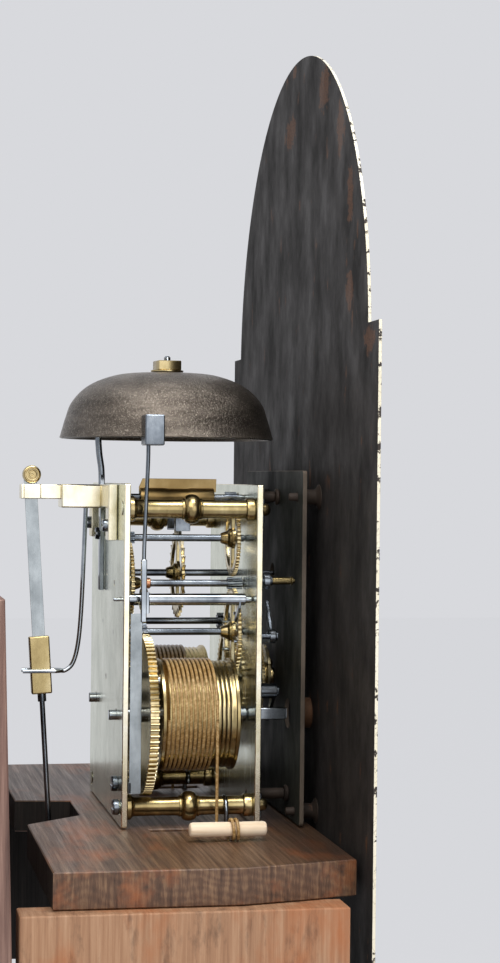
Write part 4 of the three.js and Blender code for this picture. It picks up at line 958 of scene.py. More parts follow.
# Brass sheet, hammered, scraped and stoned; polished once, so it reads pale with dull, faintly green patches.
PLATE_BRASS = Metal("plate brass, hammered and stoned", "plate_brass", ("#c3c8b4", "#dadecb", "#ecefdf"),
                    (0.2, 0.4), Working.ROLLED, 0.004, "#8b8567", 0.26, 3.2)
# The plates' filed edges: cream and almost without tarnish, as filed brass is, and painted paler still as the
# highlight that the lamps put along them.
LIT_EDGE_BRASS = Metal("plate brass, filed edge", "plate_brass", ("#e3d9b4", "#f5ecd0", "#fffaea"),
                   (0.22, 0.4), Working.FORGED, 0.006, "#a08f5e", 0.2, 1.6)
# Cast wheel blanks, turned and polished: a warmer yellow, with grey-brown oil in the teeth.
WHEEL_BRASS = Metal("wheel brass, cast and polished", "wheel_brass", ("#a09068", "#cdbd95", "#ece0c2"),
                    (0.2, 0.38), Working.POLISHED, 0.004, "#5a4a2c", 0.35, 1.8)
# Brass turned between centres: fine rings round each pillar and drum, drawn 0.16 mm wide so that they show.
TURNED_BRASS = Metal("brass, turned between centres", "wheel_brass", ("#8a7852", "#aa986c", "#d0bf95"),
                     (0.2, 0.38), Working.TURNED, 0.008, "#66542f", 0.32, 2.6)
# Thin brass sheet, folded and never polished: tan and matt, so it stays apart from the bright wheels.
FLY_BRASS = Metal("brass sheet, folded and dull", "wheel_brass", ("#7c6641", "#937c52", "#b39c70"),
                  (0.34, 0.52), Working.ROLLED, 0.004, "#6f5634", 0.3, 2.2)
# Cast brass, filed flat on its faces: pale and even, with hardly a stain.
COCK_BRASS = Metal("brass, cast and filed", "plate_brass", ("#dacda4", "#f2ead0", "#fdf8e8"),
                   (0.24, 0.36), Working.ROLLED, 0.001, "#a08a58", 0.06, 3.0)
# Old steel, filed and left: cold grey with brown specks, darker where oil has dried on it.
DARK_STEEL = Metal("steel, filed and darkened", "steel", ("#454b52", "#757c84", "#a4abb2"),
                   (0.2, 0.4), Working.TURNED, 0.006, "#3a2c22", 0.36, 1.6)
# Iron left black by the forge, as on the bell stand's shoulder and its screw.
FORGED_IRON = Metal("iron, forged and blackened", "steel", ("#1d2023", "#353a3f", "#5a6167"),
                    (0.22, 0.42), Working.FORGED, 0.02, "#2c1f18", 0.4, 1.8)
# Spring steel, rolled thin: an even light grey, with long streaks down it.
SPRING_STEEL = Metal("spring steel, rolled", "bright_steel", ("#747a7d", "#92989b", "#adb3b6"),
                     (0.2, 0.36), Working.STREAKED, 0.012, "#5c554d", 0.12, 1.2)
# Steel polished on the arbor: bright streaks along it, few specks.
BRIGHT_STEEL = Metal("steel, polished", "bright_steel", ("#6f767d", "#979ea5", "#c2c8ce"),
                     (0.12, 0.27), Working.DRAWN, 0.004, "#6a5c4c", 0.15, 1.4)
# Steel blued over a flame, nearly black, with a sheen of blue at its edges.
BLUED_STEEL = Metal("steel, blued over a flame", "blued_steel", ("#12151f", "#1f2537", "#36426a"),
                    (0.2, 0.34), Working.POLISHED, 0.003, "#2a1c14", 0.15, 2.0)
# Copper collar, dulled to red-brown.
COPPER = Metal("copper, turned and dulled", "wheel_brass", ("#8a5236", "#b87a55", "#dba581"),
               (0.28, 0.46), Working.TURNED, 0.006, "#4a2a1a", 0.3, 1.4)
# Bell bronze with its casting skin on: brown-grey and sandy, with a broad, soft gloss and pale specks painted
# in as glints of light.
BELL_METAL = BellMetal("bell metal, as cast", "bell_bronze")
# Thin black paint on sheet iron: nearly black, with small brown spots.
BLACK_IRON = RustyIron("iron sheet, black paint", "iron", ("#1c1d1b", "#33352f"), 0.3)
# The sheared edge of the same sheet, whose paint has gone: grey-brown bare iron.
IRON_EDGE = RustyIron("iron sheet, sheared edge", "iron", ("#3f3933", "#665c52"), 0.5)
# The dial's back: dull black paint in upright runs, with large orange-brown patches round the arch.
DIAL_RUST = (((16, 337), (15, 10)), ((8, 366), (6, 4)), ((-58, 346), (14, 13)), ((-92, 322), (9, 16)),
             ((-112, 290), (7, 18)), ((-112, 246), (9, 12)), ((-150, 222), (13, 8)))
DIAL_BACK = RustyIron("dial's iron back, old paint and rust", "dial_paint", ("#1b1918", "#363332"), 0.5,
                      DIAL_RUST)
# Turned iron studs that were never painted: dark, and brown with rust almost all over.
RUSTED_IRON = RustyIron("iron studs, rusted", "iron", ("#221c19", "#3d332c"), 0.62)
# Rolled iron rings in the winding holes: a lighter, dusty brown.
RUSTED_RING = RustyIron("winding holes' rings, brown rust", "dial_paint", ("#33261c", "#6b4a33"), 0.55)
# Oil paint on the dial's face: cream and half glossy, cracked finely with age.
DIAL_FACE = DialPaint("dial paint, cream with age cracks", "dial_paint", 0.08)
# The same paint on the sheet's edge, where most of it has chipped: a broken line of cream on black.
DIAL_EDGE = DialPaint("dial paint on the edge, chipped", "dial_paint", 0.85)
# Numerals brushed in black enamel: even and smooth, with a soft gloss.
DARK_PAINT = Metal("painted numerals, black enamel", "dial_paint", ("#141210", "#1b1815", "#27231e"),
                   (0.3, 0.45), Working.POLISHED, 0.002, "#3a342c", 0.1, 2.0)
# Stained oak, sawn and planed by hand: dark brown with red patches, its top darkened near the dial by painted
# shade of the dial.
SEAT_TIMBER = Timber("seatboard oak, stained and rough sawn", "dark_wood", ("#38251a", "#5c4230", "#886a4e"),
                     Axis.X, 4.2, 0.5, 0.3, (0, 60, -160), "#a05c30", 0.75, (0.3, 0.52), Axis.Z, (-56, -76))
# Bare pine, darkened by age: warm orange-brown, with soft grain and dark smears.
CHEEK_TIMBER = Timber("cheek pine, bare", "pine", ("#89644a", "#a0795b", "#b48f70"), Axis.Z, 9.0, 0.62, 0.1,
                      (90, -260, 0), "#a35824", 0.9, (0.5, 0.8), Axis.X)
# Oak left rough behind the trunk: grey-brown and matt, lighter at its worn edge.
BACK_TIMBER = Timber("backboard oak, dark with a worn edge", "dark_wood", ("#4a3631", "#765a50", "#9a7c6e"),
                     Axis.Z, 5.0, 0.3, 0.2, (60, 300, 0), "#b07a52", 0.3)
# The boards' inner sides, painted near black as the shade inside the case, where the eye sees no grain.
SHADED_INNER_TIMBER = Timber("board's inner side, black with dust", "dark_wood", ("#0e0b09", "#1a1410", "#2a201a"),
                      Axis.Z, 6.0, 0.5, 0.2, (60, 300, 0), "#2a1a12", 0.2)
# Beech turned and left bare: pale cream, with hardly any grain.
PEG_TIMBER = Timber("toggle beech, turned and bare", "peg_wood", ("#e6cba8", "#f7e3c7", "#fff2de"),
                    Axis.Y, 1.6, 0.1, 0.05, (-200, 0, 170), "#cda57a", 0.2)
# Sheep's gut twisted into a line: amber, with the light caught along its strands.
GUT = Gut("gut, twisted", "gut")


def dressed(piece: Obj, finish: Finish) -> Obj:
    """Give a whole piece one finish."""
    piece.data.materials.clear()
    piece.data.materials.append(finish.material())
    piece.data.polygons.foreach_set("material_index", [0] * len(piece.data.polygons))
    return piece


def parted(piece: Obj, main: Finish, other: Finish, chosen: Callable[[bpy.types.MeshPolygon], bool]) -> Obj:
    """Give a piece two finishes.

    Args:
        piece: The piece.
        main: The finish of most of its faces.
        other: The finish of the chosen faces.
        chosen: Tells whether a face is chosen.

    Returns:
        The piece.
    """
    dressed(piece, main)
    piece.data.materials.append(other.material())
    for face in piece.data.polygons:
        face.material_index = int(chosen(face))
    return piece


def edged(piece: Obj, faces: Finish, edges: Finish) -> Obj:
    """Give a plate one finish on its two broad faces, which look along Y, and another on its edges."""
    return parted(piece, faces, edges, lambda face: abs(face.normal.y) <= 0.9)


def fitted(piece: Obj, body: str, finish: Finish, *nodes: str) -> Obj:
    """Hand a finished piece to the body that it moves with.

    Args:
        piece: The piece.
        body: The body's name.
        finish: Not used.
        nodes: The CAD nodes that it stands for.

    Returns:
        The piece.
    """
    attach(piece, body)
    if nodes:
        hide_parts(*nodes)
    LOG.info("%s on %s, %d faces", piece.name, body, len(piece.data.polygons))
    return piece


# The photograph's camera and the lines


@dataclass
class PhotoCamera:
    """The camera that took the photograph, worked out from the clock's straight edges.

    Attributes:
        spot: Its place in the movement frame, in millimetres.
        yaw: How far it looks from +X towards -Y, in radians.
        pitch: How far it looks down.
        roll: How far it is turned about its own axis.
        lens: The focal length for a sensor whose long side is 36 mm.
    """

    spot: Point = (-1021.72, 127.45, 161.15)
    yaw: float = 0.1916
    pitch: float = 0.0007
    roll: float = 0.0109
    lens: float = 78.48

    def set_up(self) -> None:
        """Make the camera the scene's own."""
        flat = math.cos(self.pitch)
        ahead = Vector((math.cos(self.yaw) * flat, -math.sin(self.yaw) * flat, -math.sin(self.pitch)))
        right = ahead.cross(Vector((0, 0, 1))).normalized()
        up = right.cross(ahead)
        across = right * math.cos(self.roll) + up * math.sin(self.roll)
        upright = up * math.cos(self.roll) - right * math.sin(self.roll)
        data = bpy.data.cameras.new("photo camera")
        data.lens, data.sensor_width, data.sensor_fit = self.lens, 36.0, "AUTO"
        data.clip_start, data.clip_end = 0.05, 50.0
        camera = bpy.data.objects.new("photo camera", data)
        turn = Matrix((across, upright, -ahead)).transposed().to_4x4()
        camera.matrix_world = Matrix.Translation(at(*self.spot)) @ turn
        bpy.context.scene.collection.objects.link(camera)
        bpy.context.scene.camera = camera


class Side(Enum):
    """Which train a piece belongs to, with the sign of its X."""

    STRIKE = -1
    GOING = 1

    @property
    def word(self) -> str:
        """Give the side's name as the CAD nodes have it."""
        return self.name.lower()


def winding_tree() -> Tree:
    """Build the tree that winds a line round a drum along Y, turn by turn towards the dial.

    Returns:
        The tree, with inputs for the turns, the drum's place and the line's sizes.
    """
    name = "line wound on a drum"
    if name in bpy.data.node_groups:
        return bpy.data.node_groups[name]
    sizes = dict.fromkeys(("Turns", "Radius", "Pitch", "Side", "Thickness"), "Float")
    tree = blank_tree(name, {**sizes, "Place": "Vector", "Material": "Material"})
    given = add(tree, "NodeGroupInput").outputs
    steps, sides = 48, 10
    count = add(tree, "ShaderNodeMath", {0: given["Turns"], 1: steps, 2: 1.0}, operation="MULTIPLY_ADD")
    line = add(tree, "GeometryNodeMeshLine", {"Count": count})
    value = {label: given[label] for label in sizes}
    value["index"] = add(tree, "GeometryNodeInputIndex")
    for label, work, first, second in (
            ("done", "DIVIDE", "index", steps), ("left", "SUBTRACT", "Turns", "done"),
            ("angle", "MULTIPLY", "left", 2 * math.pi), ("across", "COSINE", "angle", 0.0),
            ("sided", "MULTIPLY", "across", "Side"), ("upward", "SINE", "angle", 0.0),
            ("x", "MULTIPLY", "sided", "Radius"), ("z", "MULTIPLY", "upward", "Radius"),
            ("travel", "MULTIPLY", "done", "Pitch"), ("y", "MULTIPLY", "travel", -1.0),
            ("length", "MULTIPLY", "angle", "Radius"), ("share", "DIVIDE", "index", sides)):
        inputs = {0: value[first], 1: value.get(second, second)}
        value[label] = add(tree, "ShaderNodeMath", inputs, operation=work)
    offset = add(tree, "ShaderNodeCombineXYZ", {"X": value["x"], "Y": value["y"], "Z": value["z"]})
    spot = add(tree, "ShaderNodeVectorMath", {0: offset, 1: given["Place"]}, operation="ADD")
    moved = add(tree, "GeometryNodeSetPosition", {"Geometry": line, "Position": spot})
    inputs = {"Geometry": moved, "Name": "run", "Value": value["length"]}
    marked = add(tree, "GeometryNodeStoreNamedAttribute", inputs, data_type="FLOAT")
    curve = add(tree, "GeometryNodeMeshToCurve", {0: marked})
    ring = add(tree, "GeometryNodeCurvePrimitiveCircle", {"Resolution": sides, "Radius": given["Thickness"]})
    inputs = {"Geometry": ring, "Name": "turn", "Value": value["share"]}
    section = add(tree, "GeometryNodeStoreNamedAttribute", inputs, data_type="FLOAT")
    inputs = {"Curve": curve, "Profile Curve": section, "Fill Caps": True}
    return ended(tree, add(tree, "GeometryNodeCurveToMesh", inputs), given["Material"])


@dataclass
class GutLine:
    """One train's gut line: its turns on the drum, its fall and rise, and its toggle on the seatboard.

    Attributes:
        side: The train that it drives.
        turns: The turns on the drum.
        thick: The line's diameter.
        wound: The radius of its turns.
        pitch: The distance between turns.
        start: The first turn's Y.
        drum: The drum's X and Z.
        drop: How far below the plates' feet the line turns up.
        hung: The toggle's X, Z and the radius of the line round it.
    """

    side: Side
    turns: int
    thick: float = 1.5
    wound: float = 25.83
    pitch: float = 2.05
    start: float = -21.45
    drum: Flat = (40.0, 50.0)
    drop: float = 62.0
    hung: Point = (99.83, 5.1, 4.35)

    def path(self) -> list[Point]:
        """Give the free line's points, from the drum to the end of its turns round the toggle."""
        sign, y = self.side.value, self.start - self.turns * self.pitch
        fall, rise = self.drum[0] + self.wound, self.hung[0] - self.hung[2]
        half = (rise - fall) / 2
        top = self.drum[1] - 0.3
        line = [(sign * fall, y, top - i / 12 * (top + self.drop)) for i in range(12)]
        for i in range(17):
            a = i / 16 * math.pi
            line.append((sign * (fall + half - half * math.cos(a)), y, -self.drop - half * math.sin(a)))
        line += [(sign * rise, y, -self.drop + i / 8 * (self.drop + self.hung[1])) for i in range(1, 8)]
        for i in range(49):
            a = i / 24 * 2 * math.pi
            x, z = self.hung[0] - self.hung[2] * math.cos(a), self.hung[1] + self.hung[2] * math.sin(a)
            line.append((sign * x, y - i / 24 * self.pitch, z))
        return line

    def toggle(self) -> Obj:
        """Turn the wooden toggle that the line is tied round."""
        middle = self.start - self.turns * self.pitch - self.pitch + 3
        shape = ((0, 17.5), (2.2, 17.5), (3.0, 17.0), (3.3, 16.0), (3.3, 2), (3.1, -3), (3.3, -8),
                 (3.3, -16.0), (3.0, -17.0), (2.2, -17.5), (0, -17.5))
        name = f"{self.side.word}_toggle_turned"
        centre = (self.side.value * self.hung[0], self.hung[1])
        piece = revolved(name, [(radius, middle + y) for radius, y in shape], centre)
        return fitted(dressed(piece, PEG_TIMBER), "frame", PEG_TIMBER, f"{self.side.word}_toggle")

    def winding(self) -> Obj:
        """Wind the turns on the drum."""
        piece = from_mesh(f"{self.side.word}_line_turns", bpy.data.meshes.new("winding"))
        values = {"Turns": float(self.turns), "Radius": self.wound * MM, "Pitch": self.pitch * MM,
                  "Side": float(self.side.value), "Thickness": self.thick / 2 * MM,
                  "Place": at(self.side.value * self.drum[0], self.start, self.drum[1]),
                  "Material": GUT.material()}
        applied(piece, winding_tree(), values)
        turned_out(piece.data)
        smooth(piece.data, 60)
        return fitted(piece, "frame", GUT, f"{self.side.word}_line_winding")

    def build(self) -> None:
        """Make the toggle, the turns and the free line."""
        peg = self.toggle()
        self.winding()
        path = self.path()
        line = dressed(tube(f"{self.side.word}_line_free", path, self.thick / 2), GUT)
        fitted(line, "frame", GUT, f"{self.side.word}_line")
        metres = [at(*p) for p in path]
        length = sum((b - a).length for a, b in zip(metres, metres[1:]))
        LOG.info("%s line, free length %.0f mm", self.side.word, length / MM)


# The frame: plates, pillars, false plate and dial

BARREL = (40.0, 50.0)
CENTRE = (0.0, 64.4)
THIRD = (14.5, 90.5)
ESCAPE = (0.0, 115.2)
PALLETS = (0.0, 150.0)
PINS = (-25.5, 88.0)
HOOP = (-28.0, 111.4)
WARNING = (-31.0, 133.2)
FLY = (-27.0, 152.8)
HAMMER = (-52.0, 105.0)
SPRING_SCREW = (-47.0, 18.7)
MINUTE = (20.3, 59.0)
RACK = (-34.0, 60.0)
HOOK = (-57.0, 114.0)
LIFT = (-57.0, 88.0)
INNER, FRONT_INNER, FRONT_OUTER = -2.8, -62.3, -65.1
REAR_SHOULDER, FRONT_SHOULDER, PIVOT_END = -3.2, -61.9, -65.7
WINDING_HOLE = 7.0
FALSE_REAR, FALSE_FRONT, DIAL_REAR, DIAL_FRONT = -82.5, -84.5, -93.1, -94.7
PAINTED = (DIAL_FRONT - 0.06, DIAL_FRONT + 0.02)


def rounded(width: float, low: float, high: float, corner: float, steps: int = 5) -> list[Flat]:
    """Give a rectangle with round corners, centred on X 0."""
    half, top, foot = width / 2 - corner, high - corner, low + corner
    loop = []
    for x, z, start in ((half, top, 0), (-half, top, 90), (-half, foot, 180), (half, foot, 270)):
        loop += [around((x, z), corner, math.radians(start + 90 * i / steps)) for i in range(steps + 1)]
    return loop


def slotted(name: str, centre: Flat, radius: float, rear: float, front: float, finish: Finish) -> Obj:
    """Make a domed screw head whose face looks to the rear, with its slot.

    Args:
        name: The head's name.
        centre: Its X and Z.
        radius: Its radius.
        rear: The Y of its top.
        front: The Y of its seat.
        finish: Its finish.

    Returns:
        The head.
    """
    seat = rear - 0.75
    slot = math.asin(0.16)
    halves = []
    for sign in (-1, 1):
        span = [slot + (math.pi - 2 * slot) * i / 14 for i in range(15)]
        loop = [(centre[0] + radius * math.cos(a), centre[1] + sign * radius * math.sin(a)) for a in span]
        halves.append(sheet(name + "_half", loop, seat, rear, edge=0.35))
    base = revolved(name + "_base", [(0, front), (radius, front), (radius, seat), (0, seat)], centre)
    return dressed(joined(name, [base, *halves]), finish)


@dataclass
class Plates:
    """The two brass plates, with pivot holes in oil sinks, and the lever studs in the front one.

    Attributes:
        width: The plates' width.
        height: Their height.
        thick: Their thickness.
        corner: The radius of their corners.
        screwed: The pillar that a steel screw holds from behind; the others are riveted.
        pillars: The pillars' X and Z by name.
    """

    width: float = 126.0
    height: float = 159.0
    thick: float = 2.8
    corner: float = 1.2
    screwed: str = "pillar_low_left"
    pillars: dict[str, Flat] = field(default_factory=lambda: {
        "pillar_top_left": (-54.5, 147.3), "pillar_top_right": (54.5, 141.3),
        "pillar_low_left": (-54.5, 8.8), "pillar_low_right": (54.5, 7.2)})

    def holes(self, extra: list[tuple[Flat, float]]) -> list[list[Flat]]:
        """Give the outlines of the holes: small pivots first, which have oil sinks, then the wide ones."""
        small = [THIRD, PINS, WARNING, FLY]
        wide = [((-BARREL[0], BARREL[1]), 2.7), (BARREL, 2.7), (HAMMER, 1.2)]
        places = [(spot, 1.2) for spot in small] + wide + extra
        places += [(spot, 3.3) for spot in self.pillars.values()]
        return [circle(x, z, r, 24 if r > 2 else 16) for (x, z), r in places]

    def back(self) -> Obj:
        """Cut the back plate, whose sinks look to the rear."""
        extra = [(CENTRE, 1.2), (HOOP, 1.2), (ESCAPE, 1.2), (PALLETS, 3.7), (SPRING_SCREW, 2.3)]
        outline = rounded(self.width, 0, self.height, self.corner)
        return sheet("back_plate_cut", outline, -self.thick, 0, self.holes(extra), 0.35, sinks=4)

    def front(self) -> Obj:
        """Cut the front plate and rivet the lever studs in it."""
        pegs = [((x, z), 1.9) for x, z in FalsePlate().feet]
        extra = [(CENTRE, 2.2), (HOOP, 1.8), (ESCAPE, 1.4), (PALLETS, 1.2), (MINUTE, 1.2), *pegs]
        outline = rounded(self.width, 0, self.height, self.corner)
        cut = sheet("front_cut", outline, FRONT_OUTER, FRONT_INNER, self.holes(extra), 0.35)
        # Its edges get the paler brass, which is partly painted highlight.
        pieces = [edged(cut, PLATE_BRASS, LIT_EDGE_BRASS)]
        for spot, head in ((RACK, -78.1), (HOOK, -69.7), (LIFT, -72.6)):
            steps = [(-62.4, FRONT_OUTER, 2.6), (FRONT_OUTER, head, 1.35), (head, head - 0.9, 2.4)]
            pieces.append(dressed(rod("stud", spot, steps), DARK_STEEL))
        steps = [(-70.6, -79.6, 1.8), (-79.6, -80.6, 2.1), (-80.6, -81.6, 1.1)]
        pieces.append(dressed(rod("long stud", HOOK, steps), TURNED_BRASS))
        return joined("front_plate_cut", pieces)

    def pillar(self, name: str, place: Flat) -> Obj:
        """Turn one pillar, with its rivet behind and its dome and taper pin before the plates.

        Args:
            name: The CAD node's name.
            place: The pillar's X and Z.

        Returns:
            The pillar.
        """
        mid = (INNER + FRONT_INNER) / 2
        bead = [(4.9 + 2.1 * math.sqrt(1 - t * t), mid + 3.5 * t)
                for t in (1, 0.96, 0.85, 0.65, 0.35, 0, -0.35, -0.65, -0.85, -0.96, -1)]
        neck = ((4.3, 12), (4.5, 4.9), (4.9, 4.7), (5.0, 4.0), (4.8, 3.7))
        profile = [(0, 0.2), (3.0, 0.2)]
        profile += [(radius, INNER - y) for radius, y in ((3.0, 0.1), (5.7, 0.1), (6.0, 0.5), (6.0, 2.2),
                                                          (5.6, 2.7), (4.9, 3.1), (4.4, 4))]
        profile += [*[(radius, mid + y) for radius, y in neck], *bead,
                    *[(radius, mid - y) for radius, y in neck[::-1]]]
        profile += [(radius, FRONT_INNER + y) for radius, y in ((4.4, 4.4), (5.2, 3.9), (5.4, 3.2),
                                                                (5.4, 0.5), (5.1, 0.1), (3.0, 0.1))]
        profile += [(3.0, -67.4), (2.9, -68.2), (2.5, -69.1), (1.6, -69.8), (0.7, -70.05), (0, -70.1)]
        turned = dressed(revolved("turned", profile, place, steps=56), TURNED_BRASS)
        rivet = dressed(rod("rivet", place, [(0.02, 0.4, 3.3)], edge=0.15), PLATE_BRASS)
        x, z = place
        pin = [(x, -66.7, z - 6), (x, -66.7, z), (x, -66.7, z + 5)]
        taper = dressed(tube("pin", pin, [0.55, 0.7, 0.85]), DARK_STEEL)
        pieces = [turned, taper, rivet]
        if name == self.screwed:
            pieces.append(slotted("screw", place, 3.6, 3.3, 0.5, DARK_STEEL))
        return joined(name + "_turned", pieces)

    def build(self) -> None:
        """Make both plates and the four pillars."""
        # Its edges get the paler brass, which is partly painted highlight.
        back = edged(self.back(), PLATE_BRASS, LIT_EDGE_BRASS)
        fitted(back, "frame", PLATE_BRASS, "back_plate")
        fitted(self.front(), "frame", PLATE_BRASS, "front_plate")
        for name, place in self.pillars.items():
            fitted(self.pillar(name, place), "frame", TURNED_BRASS, name)


@dataclass
class FalsePlate:
    """The black iron plate between the movement and the dial.

    Attributes:
        width: Its width.
        height: Its height.
        low: Its lower edge's Z.
        feet: The X and Z of its feet.
        dial_feet: The X and Z of the dial's feet.
    """

    width: float = 138.2
    height: float = 165.4
    low: float = 0.4
    feet: tuple[Flat, ...] = ((-42, 12), (42, 12), (-13, 153), (13, 153))
    dial_feet: tuple[Flat, ...] = ((-56, 153.4), (56, 153.4), (-56, 5.6), (56, 5.6))

    def build(self) -> None:
        """Cut the plate and stand it on its feet."""
        holes = [circle(*CENTRE, 7.7, 32), circle(*ESCAPE, 5, 24), circle(*MINUTE, 1.0, 12)]
        holes += [circle(sign * BARREL[0], BARREL[1], WINDING_HOLE, 32) for sign in (-1, 1)]
        holes += [circle(x, z, 2.4, 16) for x, z in self.dial_feet]
        outline = rounded(self.width, self.low, self.low + self.height, 2.0)
        pieces = [edged(sheet("plate", outline, FALSE_FRONT, FALSE_REAR, holes, 0.2), BLACK_IRON, IRON_EDGE)]
        for spot in self.feet:
            steps = [(-61.9, -65.4, 1.6), (-65.4, -67.0, 3.6), (-67.0, -80.6, 2.6), (-80.6, FALSE_REAR, 4.0)]
            pieces.append(dressed(rod("foot", spot, steps, edge=0.5), RUSTED_IRON))
        piece = joined("false_plate_cut", pieces)
        fitted(piece, "frame", BLACK_IRON, "false_plate")


@dataclass
class Dial:
    """The arched sheet-iron dial: rusty paint behind, cream paint with plain numbers before.

    Attributes:
        width: Its width.
        low: Its lower edge's Z.
        shoulder: The Z at which its arch begins.
        arch: The arch's radius.
        rise: The arch's height above its shoulders.
    """

    width: float = 330.0
    low: float = -100.6
    shoulder: float = 229.4
    arch: float = 146.7
    rise: float = 140.4

    def outline(self, inset: float = 0.0, steps: int = 72) -> list[Flat]:
        """Give the dial's outline, or a line that far inside it."""
        half, top = self.width / 2 - inset, self.shoulder - inset
        middle, radius = self.shoulder + self.rise - self.arch, self.arch - inset
        start = math.asin((top - middle) / radius)
        arc = [start + (math.pi - 2 * start) * i / steps for i in range(steps + 1)]
        loop = [(-half, self.low + inset), (half, self.low + inset), (half, top)]
        loop += [(radius * math.cos(a), middle + radius * math.sin(a)) for a in arc]
        return [*loop, (-half, top)]

    def plate(self) -> Obj:
        """Cut the dial, and give its back, face and edge each their own finish."""
        holes = [circle(*CENTRE, 4.9, 24), circle(*ESCAPE, 2.4, 20)]
        holes += [circle(sign * BARREL[0], BARREL[1], WINDING_HOLE, 32) for sign in (-1, 1)]
        made = sheet("plate", self.outline(), DIAL_FRONT, DIAL_REAR, holes, 0.2)
        for finish in (DIAL_BACK, DIAL_FACE, DIAL_EDGE):
            made.data.materials.append(finish.material())
        for face in made.data.polygons:
            face.material_index = 0 if face.normal.y > 0.5 else 1 if face.normal.y < -0.9 else 2
        return made

    def strip(self, radius: float, width: float, centre: Flat, steps: int = 128) -> Obj:
        """Paint a ring on the dial's face."""
        outer, inner = (circle(*centre, radius + part * width / 2, steps) for part in (1, -1))
        return dressed(sheet("ring", outer, *PAINTED, [inner], 0.01), DARK_PAINT)

    def ticks(self, inner: float, outer: float, width: float, centre: Flat, count: int) -> Obj:
        """Paint a ring of strokes on the dial's face."""
        bar = [(inner, -width / 2), (outer, -width / 2), (outer, width / 2), (inner, width / 2)]
        return copies_round("ticks", bar, PAINTED, centre, count, math.pi / 2, DARK_PAINT)

    def word(self, text: str, x: float, z: float, size: float, turn: float) -> Obj:
        """Paint a number on the dial's face.

        Args:
            text: The number.
            x: Its middle's X.
            z: Its middle's Z.
            size: Its height.
            turn: Its angle from upright, clockwise as seen from the front, in radians.

        Returns:
            The number as a mesh.
        """
        curve = bpy.data.curves.new("number", "FONT")
        curve.body, curve.size, curve.extrude = text, size * 1.4 * MM, 0.03 * MM
        curve.align_x, curve.align_y = "CENTER", "CENTER"
        holder = bpy.data.objects.new("number", curve)
        bpy.context.scene.collection.objects.link(holder)
        bpy.context.view_layer.update()
        mesh = bpy.data.meshes.new_from_object(holder)
        bpy.data.objects.remove(holder)
        upright = Matrix.Rotation(turn, 4, "Y") @ Matrix.Rotation(math.pi / 2, 4, "X")
        mesh.transform(Matrix.Translation(at(x, DIAL_FRONT - 0.03, z)) @ upright)
        return dressed(from_mesh("number", mesh), DARK_PAINT)

    def painting(self) -> Obj:
        """Paint the hour ring, the seconds ring and a plain border in the arch."""
        marks = [self.strip(r, w, CENTRE) for r, w in ((142, 0.7), (135, 0.5), (96, 0.5))]
        marks.append(self.ticks(135.2, 141.8, 0.6, CENTRE, 60))
        marks.append(self.ticks(135.2, 141.8, 1.8, CENTRE, 12))
        for hour, text in enumerate("XII I II III IV V VI VII VIII IX X XI".split()):
            a = math.pi / 6 * hour
            x, z = CENTRE[0] + 115 * math.sin(a), CENTRE[1] + 115 * math.cos(a)
            marks.append(self.word(text, x, z, 28, a))
        marks += [self.strip(r, 0.4, ESCAPE, 72) for r in (24.0, 20.5)]
        marks.append(self.ticks(20.6, 23.9, 0.35, ESCAPE, 60))
        arch = (0.0, self.shoulder + self.rise - self.arch + 62)
        marks += [self.strip(r, w, arch, 96) for r, w in ((56.0, 0.6), (52.0, 1.4))]
        marks += [self.ticks(18, 48, 3.4, arch, 8), self.strip(14, 1.0, arch, 64)]
        return joined("dial_painting", marks)

    def foot(self, place: Flat) -> Obj:
        """Turn one of the feet that hold the dial to the false plate."""
        rim = [(0, FALSE_REAR + 4), (1.5, FALSE_REAR + 4), (1.8, FALSE_REAR + 3.4), (2.1, FALSE_FRONT - 0.1),
               (3.9, FALSE_FRONT - 0.1), (3.9, -86), (3.6, -88), (3.6, -91), (4.6, -92.1), (6, -92.7),
               (6, DIAL_REAR), (0, DIAL_REAR - 0.4)]
        return dressed(revolved("foot", rim, place, steps=32), RUSTED_IRON)

    def collet(self, x: float) -> Obj:
        """Roll the rusted iron ring that lines a winding hole."""
        rim = [(WINDING_HOLE + wide, y) for wide, y in (
            (-0.9, DIAL_REAR + 3.4), (-0.5, DIAL_REAR + 3.7), (0.2, DIAL_REAR + 3.6), (0.3, DIAL_REAR),
            (-0.1, DIAL_FRONT), (-0.7, DIAL_FRONT))]
        return dressed(revolved("collet", rim, (x, BARREL[1]), steps=40, loop=True), RUSTED_RING)

    def build(self) -> None:
        """Make the dial with its feet, its collets and its painting."""
        fixed = [self.foot(place) for place in FalsePlate().dial_feet]
        fixed += [self.collet(sign * BARREL[0]) for sign in (-1, 1)]
        dial = joined("dial_painted", [self.plate(), *fixed, self.painting()])
        fitted(dial, "frame", DIAL_BACK, "dial")


# The trains


